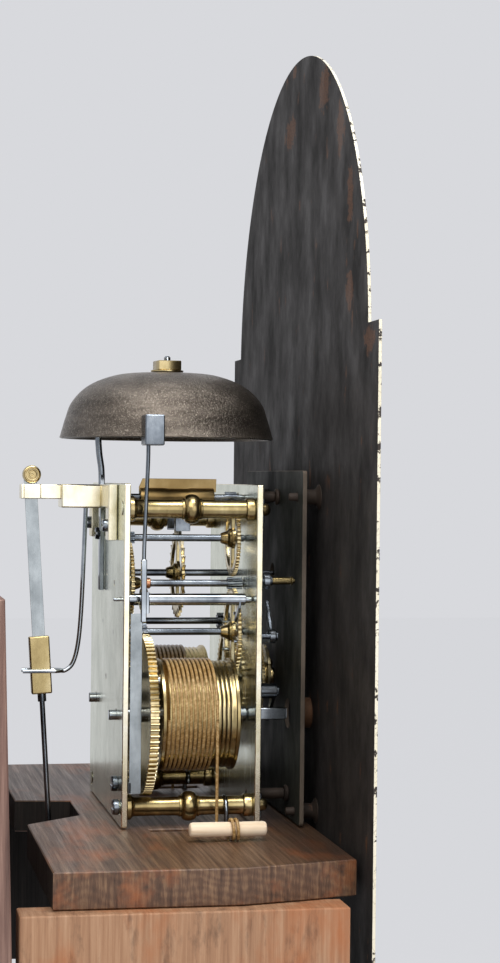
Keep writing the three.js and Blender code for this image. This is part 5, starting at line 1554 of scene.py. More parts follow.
@dataclass
class Wheel:
    """A crossed-out wheel with its rounded teeth.

    Attributes:
        node: The CAD node's name.
        body: The body that it turns with.
        centre: The arbor's X and Z.
        mate: The mate's X and Z.
        pitch: The pitch radius.
        teeth: The number of teeth.
        rear: The rear face's Y.
        thick: The thickness.
        arms: The number of arms, or 0 for a solid wheel.
        bore: The hole's radius.
    """

    node: str
    body: str
    centre: Flat
    mate: Flat
    pitch: float
    teeth: int
    rear: float
    thick: float = 1.8
    arms: int = 4
    bore: float = 2.85

    @property
    def phase(self) -> float:
        """Give the angle at which a tooth points at the mate."""
        return math.atan2(self.mate[1] - self.centre[1], self.mate[0] - self.centre[0])

    def opening(self, number: int, hub: float, rim: float) -> list[Flat]:
        """Give the outline of the opening between two arms, with round corners."""
        share = 2 * math.pi / self.arms
        loop = []
        for radius, forward in ((rim, True), (hub, False)):
            pad = math.asin(1.1 / radius) + (0.5 / radius)
            angles = [number * share + pad + (share - 2 * pad) * i / 12 for i in range(13)]
            loop += [around(self.centre, radius, a) for a in (angles if forward else angles[::-1])]
        return loop

    def tooth(self) -> list[Flat]:
        """Give one tooth's outline, measured from the axis along +X."""
        size = 2 * self.pitch / self.teeth
        half = math.pi * size / 4 * 0.9
        root, tip = self.pitch - 1.3 * size, self.pitch + 0.95 * size
        side = [(root, -half * 1.05), (self.pitch, -half), (self.pitch + 0.5 * size, -half * 0.72),
                (self.pitch + 0.82 * size, -half * 0.36)]
        return [*side, (tip, 0), *[(r, -w) for r, w in side[::-1]]]

    def disc(self) -> Obj:
        """Cut the wheel's disc, without its teeth."""
        size = 2 * self.pitch / self.teeth
        root = self.pitch - 1.28 * size
        holes = [circle(*self.centre, self.bore, 28)]
        hub = max(self.bore + 2.4, self.pitch * 0.24)
        holes += [self.opening(i, hub, root - 2.7) for i in range(self.arms)]
        rim = circle(*self.centre, root, max(72, self.teeth * 2), self.phase)
        return dressed(sheet("disc", rim, self.rear - self.thick, self.rear, holes, 0.18), WHEEL_BRASS)

    def toothing(self) -> Obj:
        """Cut the teeth."""
        ys = (self.rear - self.thick, self.rear)
        return copies_round("teeth", self.tooth(), ys, self.centre, self.teeth, self.phase, WHEEL_BRASS)

    def extras(self) -> list[Obj]:
        """Give the pieces that only some wheels have."""
        return []

    def build(self) -> None:
        """Make the wheel and hand it to its body."""
        piece = joined(self.node + "_cut", [self.disc(), self.toothing(), *self.extras()])
        fitted(piece, self.body, WHEEL_BRASS, self.node)


@dataclass
class GreatWheel(Wheel):
    """A great wheel, which carries a click, its spring and the ratchet on the drum's side."""

    thick: float = 4.2
    arms: int = 0
    bore: float = 3.65

    def extras(self) -> list[Obj]:
        """Make the steel click with its screw and its brass spring."""
        x, z = self.centre
        front = self.rear - self.thick
        beak = [(x - 22.6, z + 17), (x - 20, z + 20.6), (x - 17.4, z + 19.4), (x - 12.6, z + 13.4),
                (x - 13.6, z + 12.4), (x - 18.6, z + 15.6)]
        click = dressed(sheet("click", beak, front - 1.6, front, edge=0.3), BRIGHT_STEEL)
        screw = dressed(rod("screw", (x - 20, z + 18), [(front, front - 2.4, 1.9)], edge=0.3), BRIGHT_STEEL)
        arc = [math.radians(118 + 7 * i) for i in range(9)]
        bent = [(x + 21.5 * math.cos(a), front - 0.55, z + 21.5 * math.sin(a)) for a in arc]
        spring = dressed(tube("spring", bent, 0.5, 8), WHEEL_BRASS)
        count = 20
        ratchet = []
        for i in range(count):
            ratchet.append(around((x, z), 16.4, 2 * math.pi * i / count))
            ratchet.append(around((x, z), 18.6, 2 * math.pi * (i + 0.78) / count))
        wheel = sheet("ratchet", ratchet, front - 1.5, front + 0.1, [circle(x, z, 3.9, 24)], 0.15)
        return [click, screw, spring, dressed(wheel, WHEEL_BRASS)]


@dataclass
class PinWheel(Wheel):
    """The striking train's pin wheel, whose eight pins lift the hammer."""

    def extras(self) -> list[Obj]:
        """Set the pins."""
        reach = self.pitch - 3.4
        ys = (self.rear - self.thick - 0.4, self.rear + 1.3)
        return [copies_round("pins", circle(reach, 0, 0.8, 10), ys, self.centre, 8, 0.2, BRIGHT_STEEL)]


@dataclass
class EscapeWheel(Wheel):
    """The escape wheel, with thirty thin raked teeth."""

    def tooth(self) -> list[Flat]:
        """Give one raked tooth's outline, measured from the axis along +X."""
        tip = self.pitch
        low, share = tip - 3.4, 2 * math.pi / self.teeth
        spots = ((low, -0.12), (tip - 0.1, -0.012), (tip, 0.0), (tip - 0.1, 0.03), (low + 1.1, 0.26),
                 (low, 0.62))
        return [(r * math.cos(t * share), r * math.sin(t * share)) for r, t in spots]

    def disc(self) -> Obj:
        """Cut the thin rim, the arms and the hub."""
        holes = [circle(*self.centre, self.bore, 28)]
        holes += [self.opening(i, 6.0, self.pitch - 5.9) for i in range(4)]
        rim = circle(*self.centre, self.pitch - 3.35, 90)
        return dressed(sheet("disc", rim, self.rear - self.thick, self.rear, holes, 0.15), WHEEL_BRASS)

    @property
    def phase(self) -> float:
        """Give the first tooth's angle, half a tooth from upright."""
        return math.pi / 2 + math.pi / self.teeth


@dataclass
class Arbor:
    """A steel arbor with its pivots, its pinion and its brass collet.

    Attributes:
        node: The CAD node's name.
        body: The body that it turns with.
        centre: Its X and Z.
        toward: The mate of its pinion.
        mate: The pinion's pitch radius.
        leaves: The number of leaves.
        span: The pinion's rear and front Y.
        wheel: The wheel's rear Y.
        thick: The wheel's thickness.
        radius: The arbor's radius.
        tip: The front pivot's end and radius.
    """

    node: str
    body: str
    centre: Flat
    toward: Flat
    mate: float
    leaves: int
    span: Flat
    wheel: float
    thick: float = 1.8
    radius: float = 1.7
    tip: Flat = (PIVOT_END, 0.9)

    def shaft(self) -> Obj:
        """Turn the arbor with its pivots."""
        steps = [(0.0, REAR_SHOULDER, 0.9), (REAR_SHOULDER, FRONT_SHOULDER, self.radius),
                 (FRONT_SHOULDER, *self.tip)]
        return dressed(rod("shaft", self.centre, steps, edge=0.15), DARK_STEEL)

    def pinion(self) -> list[Obj]:
        """Cut the pinion's leaves and its core."""
        size = 2 * self.mate / self.leaves
        root, outer = self.mate - 1.2 * size, self.mate + 0.55 * size
        half = math.pi * size / 4 * 0.72
        side = [(root * 0.96, -half * 0.8), (self.mate, -half), (self.mate + 0.3 * size, -half * 0.8)]
        leaf = [*side, (outer, -half * 0.25), (outer, half * 0.25), *[(r, -w) for r, w in side[::-1]]]
        angle = math.atan2(self.toward[1] - self.centre[1], self.toward[0] - self.centre[0])
        start = angle + math.pi / self.leaves
        ys = self.span[::-1]
        leaves = copies_round("leaves", leaf, ys, self.centre, self.leaves, start, DARK_STEEL)
        core = max(root * 1.04, self.radius + 0.05)
        return [leaves, dressed(rod("core", self.centre, [(*self.span, core)], edge=0.1), DARK_STEEL)]

    def collet(self) -> Obj:
        """Turn the brass collet that the wheel is riveted on."""
        behind = self.wheel - self.thick / 2 > (INNER + FRONT_INNER) / 2
        way = -1 if behind else 1
        far, near = sorted((self.wheel, self.wheel - self.thick), reverse=behind)
        end = near + way * 5.0
        profile = [(0, far - way * 0.3), (2.5, far - way * 0.3), (2.8, far), (2.8, near),
                   (4.6, near + way * 0.05), (4.6, near + way * 1.1), (3.4, near + way * 1.9),
                   (2.7, end - way * 0.8), (2.3, end), (0, end)]
        return dressed(revolved("collet", profile, self.centre, steps=32), TURNED_BRASS)

    def extras(self) -> list[Obj]:
        """Give the pieces that only some arbors have."""
        return []

    def build(self) -> None:
        """Make the arbor and hand it to its body."""
        pieces = [self.shaft(), *self.pinion(), self.collet(), *self.extras()]
        fitted(joined(self.node + "_turned", pieces), self.body, DARK_STEEL, self.node)


@dataclass
class CentreArbor(Arbor):
    """The centre arbor, with the cannon pinion before the front plate."""

    tip: Flat = (-67.0, 1.9)

    def extras(self) -> list[Obj]:
        """Make the cannon's pipe and its wheel."""
        pipe = dressed(rod("pipe", self.centre, [(-66.0, -102.9, 2.3)]), DARK_STEEL)
        wheel = Wheel("cannon", self.body, self.centre, MINUTE, 10.5, 40, -66.0, 1.5, 0, 2.2)
        return [pipe, wheel.disc(), wheel.toothing()]


@dataclass
class HoopArbor(Arbor):
    """The hoop wheel's arbor, with its copper collar and the gathering pallet before the plate."""

    tip: Flat = (-70.5, 1.5)

    def extras(self) -> list[Obj]:
        """Turn the collar and file the gathering pallet."""
        collar = dressed(rod("collar", self.centre, [(-13.5, -17.3, 2.6)], edge=0.4), COPPER)
        x, z = self.centre
        outline = [(x - 2.6, z + 1.5), (x - 1.1, z + 4.6), (x, z + 5), (x + 1.1, z + 4.6), (x + 2.6, z + 1.5),
                   (x + 2.2, z - 2), (x, z - 2.6), (x - 2.2, z - 2)]
        pallet = dressed(sheet("gathering", outline, -69.1, -66.7, edge=0.3), DARK_STEEL)
        return [collar, pallet]


@dataclass
class FlyArbor(Arbor):
    """The fly's arbor, which has a steel seat in place of a collet."""

    def collet(self) -> Obj:
        """Turn the steel seat that the fly's sleeve rubs on."""
        return dressed(rod("seat", self.centre, [(-26.5, -34.0, 2.8)], edge=0.4), DARK_STEEL)


@dataclass
class Fly:
    """The fly: a folded brass sheet on a sleeve round its arbor.

    Attributes:
        rear: The wings' rear Y.
        front: Their front Y.
        reach: How far they stand from the arbor.
    """

    rear: float = -11.0
    front: float = -49.0
    reach: float = 8.6

    def build(self) -> None:
        """Cut the wings and roll the sleeve."""
        pieces = []
        for sign in (-1, 1):
            loop = [(self.rear - 0.5, 2.2), (self.rear - 0.5, self.reach - 4.0),
                    (self.rear - 2.2, self.reach), (self.front + 0.1, self.reach),
                    (self.front, self.reach - 0.1), (self.front + 0.2, 2.2)]
            wing = [(y, FLY[1] + sign * z) for y, z in loop]
            wing = sheet("wing", wing, FLY[0] - 0.35, FLY[0] + 0.35, edge=0.12, axis=Axis.X)
            pieces.append(dressed(wing, FLY_BRASS))
        shell = [(3.15, -12.0), (4.0, -12.0), (4.2, -12.4), (4.2, -24), (3.9, -25), (3.9, -35), (4.2, -36),
                 (4.2, -47.1), (4.0, -47.5), (3.15, -47.5)]
        pieces.append(dressed(revolved("sleeve", shell, FLY, steps=32, loop=True), FLY_BRASS))
        fitted(joined("fly_folded", pieces), "fly_group", FLY_BRASS, "fly")


@dataclass
class Drum:
    """A grooved brass drum between two flanges, with its arbor and winding square.

    Attributes:
        side: The train that it drives.
        rear: The rear flange's Y.
        front: The front flange's Y.
        bottom: The radius at the grooves' bottom.
        flange: The flanges' radius.
        pitch: The grooves' distance.
        square: The winding square's width.
    """

    side: Side
    rear: float = -18.6
    front: float = -55.0
    bottom: float = 25.04
    flange: float = 26.3
    pitch: float = 2.05
    square: float = 5.6

    def build(self) -> None:
        """Turn the drum and the arbor, and file the square."""
        centre = (self.side.value * BARREL[0], BARREL[1])
        profile = [(0, self.rear), (self.flange - 0.3, self.rear), (self.flange, self.rear - 0.3),
                   (self.flange, self.rear - 1.5), (self.flange - 0.3, self.rear - 1.8)]
        steps = 8
        first = self.rear - 2.85 - self.pitch / 2
        for number in range(15 * steps):
            groove, i = divmod(number, steps)
            t = 2 * i / steps - 1
            y = first + self.pitch / 2 - (groove + i / steps) * self.pitch
            profile.append((self.bottom + 0.75 * (1 - math.sqrt(max(0.0, 1 - (t * 0.82) ** 2))), y))
        profile += [(self.flange - 0.9, self.front + 1.9), (self.flange - 0.3, self.front + 1.8),
                    (self.flange, self.front + 1.5), (self.flange, self.front + 0.3),
                    (self.flange - 0.3, self.front), (17, self.front), (16.6, self.front + 0.5),
                    (9, self.front + 0.5), (8.6, self.front), (0, self.front)]
        pieces = [dressed(revolved("drum", profile, centre, steps=96), TURNED_BRASS)]
        behind = [(3.6, INNER - 0.4, 2.4), (INNER - 0.4, self.rear, 3.6)]
        pieces.append(dressed(rod("rear", centre, behind, edge=0.3), BRIGHT_STEEL))
        before = [(self.front, FRONT_SHOULDER, 3.6), (FRONT_SHOULDER, -66.3, 2.4)]
        pieces.append(dressed(rod("front", centre, before), DARK_STEEL))
        half = self.square / 2
        xs, zs = (centre[0] - half, centre[0] + half), (centre[1] - half, centre[1] + half)
        pieces.append(dressed(block("square", xs, (-65.5, -81.5), zs, 0.45), BRIGHT_STEEL))
        name = f"{self.side.word}_barrel"
        fitted(joined(name + "_turned", pieces), f"{self.side.word}_drum", TURNED_BRASS, name)


@dataclass
class Trains:
    """Both trains: wheels, arbors, drums, lines and the fly."""

    def wheels(self) -> list[Wheel]:
        """List the wheels."""
        left = (-BARREL[0], BARREL[1])
        return [
            GreatWheel("strike_great_wheel", "strike_great", left, PINS, 37.14, 84, -11.1),
            GreatWheel("going_great_wheel", "going_great", BARREL, CENTRE, 39.24, 96, -11.1),
            PinWheel("pin_wheel", "pin_group", PINS, HOOP, 20.92, 56, -57.0),
            Wheel("hoop_wheel", "hoop_group", HOOP, WARNING, 19.56, 56, -5.6),
            Wheel("warning_wheel", "warning_group", WARNING, FLY, 17.78, 56, -55.6),
            Wheel("centre_wheel", "centre_group", CENTRE, THIRD, 26.35, 60, -59.8, 1.6),
            Wheel("third_wheel", "third_group", THIRD, ESCAPE, 25.46, 56, -4.8, 1.6),
            EscapeWheel("escape_wheel", "escape_group", ESCAPE, PALLETS, 22.0, 30, -34.0, 1.6),
        ]

    def arbors(self) -> list[Arbor]:
        """List the arbors."""
        left = (-BARREL[0], BARREL[1])
        return [
            Arbor("pin_wheel_arbor", "pin_group", PINS, left, 3.54, 8, (-8.7, -16.1), -57.0),
            HoopArbor("hoop_wheel_arbor", "hoop_group", HOOP, PINS, 2.61, 7, (-54.6, -61.9), -5.6),
            Arbor("warning_wheel_arbor", "warning_group", WARNING, HOOP, 2.45, 7, (-3.2, -9.0), -55.6),
            FlyArbor("fly_arbor", "fly_group", FLY, WARNING, 2.22, 7, (-53.2, -58.9), -30, 2.0, 1.3),
            CentreArbor("centre_wheel_arbor", "centre_group", CENTRE, BARREL, 3.27, 8, (-8.7, -16.5), -59.8,
                        1.6),
            Arbor("third_wheel_arbor", "third_group", THIRD, CENTRE, 3.51, 8, (-57.4, -61.9), -4.8, 1.6),
            Arbor("escape_wheel_arbor", "escape_group", ESCAPE, THIRD, 3.18, 7, (-3.2, -8.0), -34.0, 1.6, 1.7,
                  (-97.3, 1.1)),
        ]

    def build(self) -> None:
        """Make every wheel, arbor and drum, and the fly."""
        for piece in (*self.wheels(), *self.arbors(), Drum(Side.STRIKE), Drum(Side.GOING), Fly()):
            piece.build()


# Bell, hammer and their supports


@dataclass
class Bell:
    """The cast bell on its bent steel stand, held by a washer and a square nut.

    Attributes:
        spot: Its axis's X and Y.
        rim: Its rim's Z.
        wall: Its thickness.
        profile: Its outer radius and height above the rim.
    """

    spot: Flat = (0.0, -28.6)
    rim: float = 180.6
    wall: float = 2.6
    profile: tuple[Flat, ...] = ((52.5, 0), (51, 5.4), (49.4, 10.8), (47, 17.2), (41.6, 23.6), (34, 28.3),
                                 (23.4, 31.6), (12, 32.6))

    def shell(self) -> Obj:
        """Cast the bell, with a rounded lip."""
        spots = smoothed([(radius, height, 0) for radius, height in self.profile], 6)
        outer = [(r, self.rim + h) for r, h, _ in spots if h > 1.2]
        inner = [(r - self.wall, self.rim + max(1.0, h - self.wall)) for r, h, _ in spots[::2] if h > 2]
        lip = [(49.2, self.rim + 1.0), (49.9, self.rim), (51.6, self.rim), (52.5, self.rim + 0.5)]
        top = outer[-1][1]
        loop = [*lip, *outer, (2.0, top + 0.2), (2.0, top - self.wall), *inner[::-1]]
        return dressed(revolved("bell_cast", loop, self.spot, Axis.Z, 128, loop=True), BELL_METAL)

    def nut(self) -> Obj:
        """Make the washer and the chamfered square nut."""
        rim = [(2.0, 213.7), (7.6, 213.7), (8.0, 213.9), (8.0, 214.5), (7.6, 214.7), (2.0, 214.7)]
        washer = revolved("washer", rim, self.spot, Axis.Z, loop=True)
        corners = rounded(11.4, self.spot[1] - 5.7, self.spot[1] + 5.7, 0.3, 2)
        nut = sheet("nut", corners, 214.6, 219.3, [circle(*self.spot, 1.95, 20)], 0.35, Axis.Z)
        turned_about(nut, (self.spot[0], self.spot[1], 0), Axis.Z, 7)
        return joined("bell_nut_filed", [dressed(washer, TURNED_BRASS), dressed(nut, TURNED_BRASS)])

    def stand(self) -> Obj:
        """Forge the stand: a forked strip on the plate, a bent rod, a shoulder and a threaded stud."""
        x = 12.3
        strip = [(x + wide, z) for wide, z in (
            (-2.8, 106), (-0.75, 106), (-0.7, 112.3), (0, 113), (0.7, 112.3), (0.75, 106), (2.8, 106),
            (2.8, 158), (1.6, 163), (-1.6, 163), (-2.8, 158))]
        pieces = [dressed(sheet("strip", strip, 0.3, 2.7, edge=0.4), BRIGHT_STEEL)]
        pieces.append(slotted("screw", (x, 134), 3.0, 4.6, 2.5, FORGED_IRON))
        bend = smoothed([(x, 1.6, 158), (x, 1.9, 166), (x - 0.5, 3.2, 175), (x - 2, 3.2, 184),
                         (7.3, -2.4, 192), (5, -12, 198), (1.4, -22, 201.4), (0, -28.6, 202.4)], 6)
        pieces.append(dressed(tube("rod", bend, 1.6, 16), DARK_STEEL))
        steps = [(200.8, 203.2, 4.0), (203.2, 208.4, 3.3), (208.4, 210.3, 4.0), (210.3, 213.0, 1.7)]
        pieces.append(dressed(rod("shoulder", self.spot, steps, Axis.Z), FORGED_IRON))
        thread = [(1.7 - 0.22 * (i % 2), 213.0 + 0.35 * i) for i in range(24)]
        thread = [(0, 213.0), *thread, (0.9, 221.6), (0, 221.7)]
        pieces.append(dressed(revolved("stud", thread, self.spot, Axis.Z, 24), BRIGHT_STEEL))
        return joined("bell_stand_forged", pieces)

    def build(self) -> None:
        """Make the bell, its nut and its stand."""
        fitted(self.shell(), "frame", BELL_METAL, "bell")
        fitted(self.nut(), "frame", TURNED_BRASS, "bell_nut")
        fitted(self.stand(), "frame", FORGED_IRON, "bell_stand")


@dataclass
class Hammer:
    """The bell hammer on its polished arbor, with the spring that throws it.

    Attributes:
        stem: The stem's X.
        y: The stem's Y at the arbor.
        lean: How far its blade stands behind the head, in millimetres.
    """

    stem: float = -61.8
    y: float = -10.8
    lean: float = 1.4

    def head(self) -> list[Obj]:
        """Forge the head, with broken edges and a polished striking face."""
        x, y, z = self.stem, self.y, 176.6
        outline = rounded(14.0, z, z + 14.2, 0.7, 3)
        outline = [(px + x - 0.2, pz) for px, pz in outline]
        body = sheet("head", outline, y - 6.6, y + 2.4, edge=0.5)
        face = rod("face", (y - 2.1, z + 7.4), [(x + 6.6, x + 7.1, 3.9)], Axis.X, 28)
        return [dressed(body, DARK_STEEL), dressed(face, BRIGHT_STEEL)]

    def strike(self) -> Obj:
        """Make the hub, the flat blade, the wire and the head."""
        x, z = HAMMER
        hub = rod("hub", HAMMER, [(self.y + 1.6, self.y - 1.6, 5.2)], edge=0.4, sides=36)
        arm = [(self.stem - 1, z - 6), (x - 4, z - 4.4), (x - 3, z + 3), (x - 5, z + 4),
               (self.stem - 1, z + 4)]
        web = sheet("arm", arm, self.y - 1.3, self.y + 1.3, edge=0.4)
        low = self.y + self.lean
        xs, ys = ((middle - 1.3, middle + 1.3) for middle in (self.stem, low))
        blade = block("blade", xs, ys, (z - 10, z + 19), 0.4)
        line = [(self.stem, low, z + 17), (self.stem, low, z + 24), (self.stem, self.y + self.lean / 2, 150),
                (self.stem, self.y, 170), (self.stem, self.y, 178)]
        wire = tube("wire", smoothed(line, 4), 0.95)
        pieces = [dressed(piece, BRIGHT_STEEL) for piece in (hub, web, blade)]
        return joined("hammer_forged", [*pieces, dressed(wire, DARK_STEEL), *self.head()])

    def arbor(self) -> Obj:
        """Turn the arbor and fit the tail that the pins lift."""
        x, z = HAMMER
        steps = [(3.4, REAR_SHOULDER, 0.9), (REAR_SHOULDER, -58.9, 2.8), (-58.9, FRONT_SHOULDER, 1.7),
                 (FRONT_SHOULDER, PIVOT_END, 0.9)]
        shaft = dressed(rod("shaft", HAMMER, steps, edge=0.25, sides=32), BRIGHT_STEEL)
        outline = [(x - 2.8, z - 0.6), (x - 0.4, z - 2.6), (x + 3.4, z - 5.4), (x + 8.6, z - 9.4),
                   (x + 8.6, z - 10.6), (x + 7.4, z - 11.2), (x + 2.2, z - 8.2), (x - 2.6, z - 4)]
        tail = dressed(sheet("tail", outline, -56.6, -55.4, edge=0.25), DARK_STEEL)
        return joined("hammer_arbor_turned", [shaft, tail])

    def spring(self) -> Obj:
        """Bend the spring with its foot, and cut its screw's head behind the plate."""
        leaf = [(self.stem + wide, z) for wide, z in (
            (-0.7, 16.0), (0.1, 16.0), (0.1, 60), (0.3, 84), (0.1, 99), (-0.4, 99), (-0.3, 84), (-0.7, 60))]
        blade = dressed(sheet("leaf", leaf, -8.9, -3.4, edge=0.12), SPRING_STEEL)
        foot = block("foot", (self.stem - 0.7, -43.5), (-3.1, -4.5), (16.0, 21.4), 0.3)
        shank = rod("shank", SPRING_SCREW, [(1.0, -5.2, 2.0)])
        head = slotted("head", SPRING_SCREW, 3.6, 3.0, 0.3, DARK_STEEL)
        parts = [blade, dressed(foot, BRIGHT_STEEL), dressed(shank, DARK_STEEL), head]
        return joined("hammer_spring_bent", parts)

    def build(self) -> None:
        """Make the hammer, its arbor and its spring."""
        fitted(self.strike(), "hammer_group", DARK_STEEL, "hammer")
        fitted(self.arbor(), "hammer_group", BRIGHT_STEEL, "hammer_arbor")
        fitted(self.spring(), "frame", BRIGHT_STEEL, "hammer_spring")


# Work before the front plate


def bar_between(name: str, pivot: Flat, ends: tuple[Flat, Flat], widths: Flat, ys: Flat) -> Obj:
    """Cut a tapering lever arm with round ends.

    Args:
        name: The arm's name.
        pivot: The lever's X and Z.
        ends: The middles of its two ends, measured from the pivot.
        widths: Its width at each end.
        ys: Its front and rear faces' Y.

    Returns:
        The arm.
    """
    near, far = ((pivot[0] + x, pivot[1] + z) for x, z in ends)
    angle = math.atan2(far[1] - near[1], far[0] - near[0])
    loop = []
    for spot, width, start in ((far, widths[1], -90), (near, widths[0], 90)):
        loop += [around(spot, width / 2, angle + math.radians(start + 22.5 * i)) for i in range(9)]
    return dressed(sheet(name, loop, *ys), DARK_STEEL)


@dataclass
class StrikingWork:
    """The rack, its hook and the lifting piece, each on its stud.

    Attributes:
        near: The front and rear Y of the rack and of its hook.
        middle: Those of the lifting piece.
        far: Those of the rack's tail, which drops on the snail.
    """

    near: Flat = (-68.2, -66.7)
    middle: Flat = (-71.1, -69.6)
    far: Flat = (-77.8, -76.3)

    def hub(self, spot: Flat, radius: float, rear: float, front: float) -> Obj:
        """Turn a lever's pipe, open for its stud."""
        profile = [(1.7, rear), (radius - 0.2, rear), (radius, rear - 0.2), (radius, front + 0.2),
                   (radius - 0.2, front), (1.7, front)]
        return dressed(revolved("hub", profile, spot, steps=36, loop=True), BRIGHT_STEEL)

    def rack(self) -> Obj:
        """Cut the rack with its fourteen teeth, its arm and its tail."""
        start, step = math.radians(56), math.radians(2.45)
        loop = []
        for i in range(14):
            for radius, share in ((42.9, 0), (44.4, 0.72), (44.4, 0.84)):
                loop.append(around(RACK, radius, start + (i + share) * step))
        loop += [around(RACK, 39.0, start + i / 20 * 14 * step) for i in range(20, -1, -1)]
        teeth = dressed(sheet("teeth", loop, *self.near, edge=0.15), DARK_STEEL)
        arm = bar_between("arm", RACK, ((1.0, 3.2), (11.5, 39)), (5, 3), self.near)
        tail = bar_between("tail", RACK, ((2.4, -2.4), (15.4, -15)), (4.6, 2.2), self.far)
        hub = self.hub(RACK, 3.6, self.near[1], self.far[0])
        return joined("rack_filed", [hub, arm, teeth, tail])

    def hook(self) -> Obj:
        """Cut the rack hook with its beak."""
        arm = bar_between("arm", HOOK, ((3.0, -0.8), (20, -5.4)), (4.4, 2.6), self.near)
        beak = bar_between("beak", HOOK, ((18.8, -5.2), (18.8, -8.0)), (2.2, 1.0), self.near)
        return joined("rack_hook_filed", [self.hub(HOOK, 3.9, -66.5, -69.4), arm, beak])

    def lifting_piece(self) -> Obj:
        """Cut the lifting piece, with its long arm and its upright."""
        arm = bar_between("arm", LIFT, ((3.2, -0.5), (70, -11)), (4.4, 2.4), self.middle)
        upright = bar_between("upright", LIFT, ((1.8, 2.8), (10, 15)), (4.4, 3), self.middle)
        return joined("lifting_piece_filed", [self.hub(LIFT, 3.4, self.middle[1], -72.3), arm, upright])

    def build(self) -> None:
        """Make the three levers."""
        fitted(self.rack(), "rack_body", DARK_STEEL, "rack")
        fitted(self.hook(), "rack_hook_body", DARK_STEEL, "rack_hook")
        fitted(self.lifting_piece(), "lifting_body", DARK_STEEL, "lifting_piece")


@dataclass
class MotionWork:
    """The minute wheel, the hour wheel with its snail, and the three hands."""

    def minute_wheel(self) -> Obj:
        """Cut the minute wheel, with its pinion and its arbor."""
        wheel = Wheel("minute", "minute_group", MINUTE, CENTRE, 10.5, 40, -66.0, 1.5, 0, 1.7)
        leaves = Arbor("minute", "minute_group", MINUTE, CENTRE, 1.62, 6, (-72.6, -76.6), -66.0, radius=1.0)
        size, ys = 2 * wheel.pitch / wheel.teeth, (-67.5, -66.0)
        start = wheel.phase + math.pi / 40
        teeth = copies_round("teeth", wheel.tooth(), ys, MINUTE, 40, start, WHEEL_BRASS)
        rim = circle(*MINUTE, wheel.pitch - 1.28 * size, 80)
        disc = sheet("disc", rim, *ys, [circle(*MINUTE, 1.5, 16)], 0.15)
        steps = [(-62.3, -65.5, 0.9), (-65.5, -72.6, 1.6), (-72.6, -82.1, 1.1), (-82.1, -84.5, 0.7)]
        shaft = dressed(rod("shaft", MINUTE, steps, edge=0.1), DARK_STEEL)
        return joined("minute_wheel_cut", [teeth, dressed(disc, WHEEL_BRASS), shaft, *leaves.pinion()])

    def hour_wheel(self) -> Obj:
        """Cut the hour wheel, its pipe and the twelve-stepped snail."""
        wheel = Wheel("hour", "hour_group", CENTRE, MINUTE, 19.39, 72, -74.1, 1.5, 4, 2.6)
        pipe = [(2.6, -72.7), (3.5, -72.7), (3.7, -73.0), (3.7, -99.4), (3.5, -99.7), (2.6, -99.7)]
        shell = dressed(revolved("pipe", pipe, CENTRE, steps=36, loop=True), TURNED_BRASS)
        loop = []
        for step in range(12):
            loop += [around(CENTRE, 17 - step, (step + 0.02 + 0.24 * i) / 12 * 2 * math.pi) for i in range(5)]
        snail = dressed(sheet("snail", loop, -80.1, -78.5, [circle(*CENTRE, 3.6, 28)], 0.2), WHEEL_BRASS)
        rim = [(3.6, -76.6), (6.2, -76.6), (6.6, -77.2), (6.6, -78.5), (3.6, -78.5)]
        boss = dressed(revolved("boss", rim, CENTRE, steps=36, loop=True), TURNED_BRASS)
        return joined("hour_wheel_cut", [wheel.disc(), wheel.toothing(), shell, snail, boss])

    def hand(self, name: str, z: float, length: float, width: float, boss: float, bore: float,
             rear: float) -> Obj:
        """Saw one hand from steel: a boss, a slim stem, an open loop and a point.

        Args:
            name: The hand's name.
            z: Its arbor's Z.
            length: Its length.
            width: Its stem's width.
            boss: The boss's radius.
            bore: The hole's radius.
            rear: Its rear face's Y.

        Returns:
            The hand.
        """
        front, fat = rear - 0.9, width * 1.1
        shape = [(0.42, 0.7 * boss / length), (0.34, 0.5), (0.75, 0.53), (0.3, 0.56), (1.1, 0.62),
                 (1.3, 0.68), (0.95, 0.74), (0.3, 0.79), (0.42, 0.84), (0.2, 0.92)]
        right = [(w * fat, z + part * length) for w, part in shape]
        left = [(-w, h) for w, h in right[::-1]]
        blade = [*right, (0.0, z + length), *left]
        shape = ((0, 0.585), (1.1, 0.65), (1.1, 0.7), (0, 0.775))
        eye = [(w * fat * 0.45, z + part * length) for w, part in shape]
        eye += [(-w, h) for w, h in eye[2:0:-1]]
        pieces = [sheet("stem", blade, front, rear, [eye], 0.12),
                  sheet("boss", circle(0, z, boss, 40), front, rear, [circle(0, z, bore)], 0.15)]
        if boss < 4:
            tail = [(-width * 0.4, z - boss * 0.9), (-width * 0.7, z - boss - 3), (0, z - boss - 5.2),
                    (width * 0.7, z - boss - 3), (width * 0.4, z - boss * 0.9)]
            pieces.append(sheet("tail", tail, front, rear, edge=0.1))
        return dressed(joined(name, [dressed(piece, BLUED_STEEL) for piece in pieces]), BLUED_STEEL)

    def build(self) -> None:
        """Make the wheels and the hands."""
        fitted(self.minute_wheel(), "minute_group", WHEEL_BRASS, "minute_wheel")
        fitted(self.hour_wheel(), "hour_group", WHEEL_BRASS, "hour_wheel")
        for name, body, z, *sizes, gap in (
                ("hour_hand", "hour_group", CENTRE[1], 84, 5, 8, 4.0, 3.6),
                ("minute_hand", "centre_group", CENTRE[1], 124, 3.6, 6, 2.6, 6.4),
                ("seconds_hand", "escape_group", ESCAPE[1], 22, 1.4, 2.6, 1.3, 1.0)):
            fitted(self.hand(name + "_sawn", z, *sizes, DIAL_FRONT - gap), body, BLUED_STEEL, name)


# Pendulum work behind the back plate


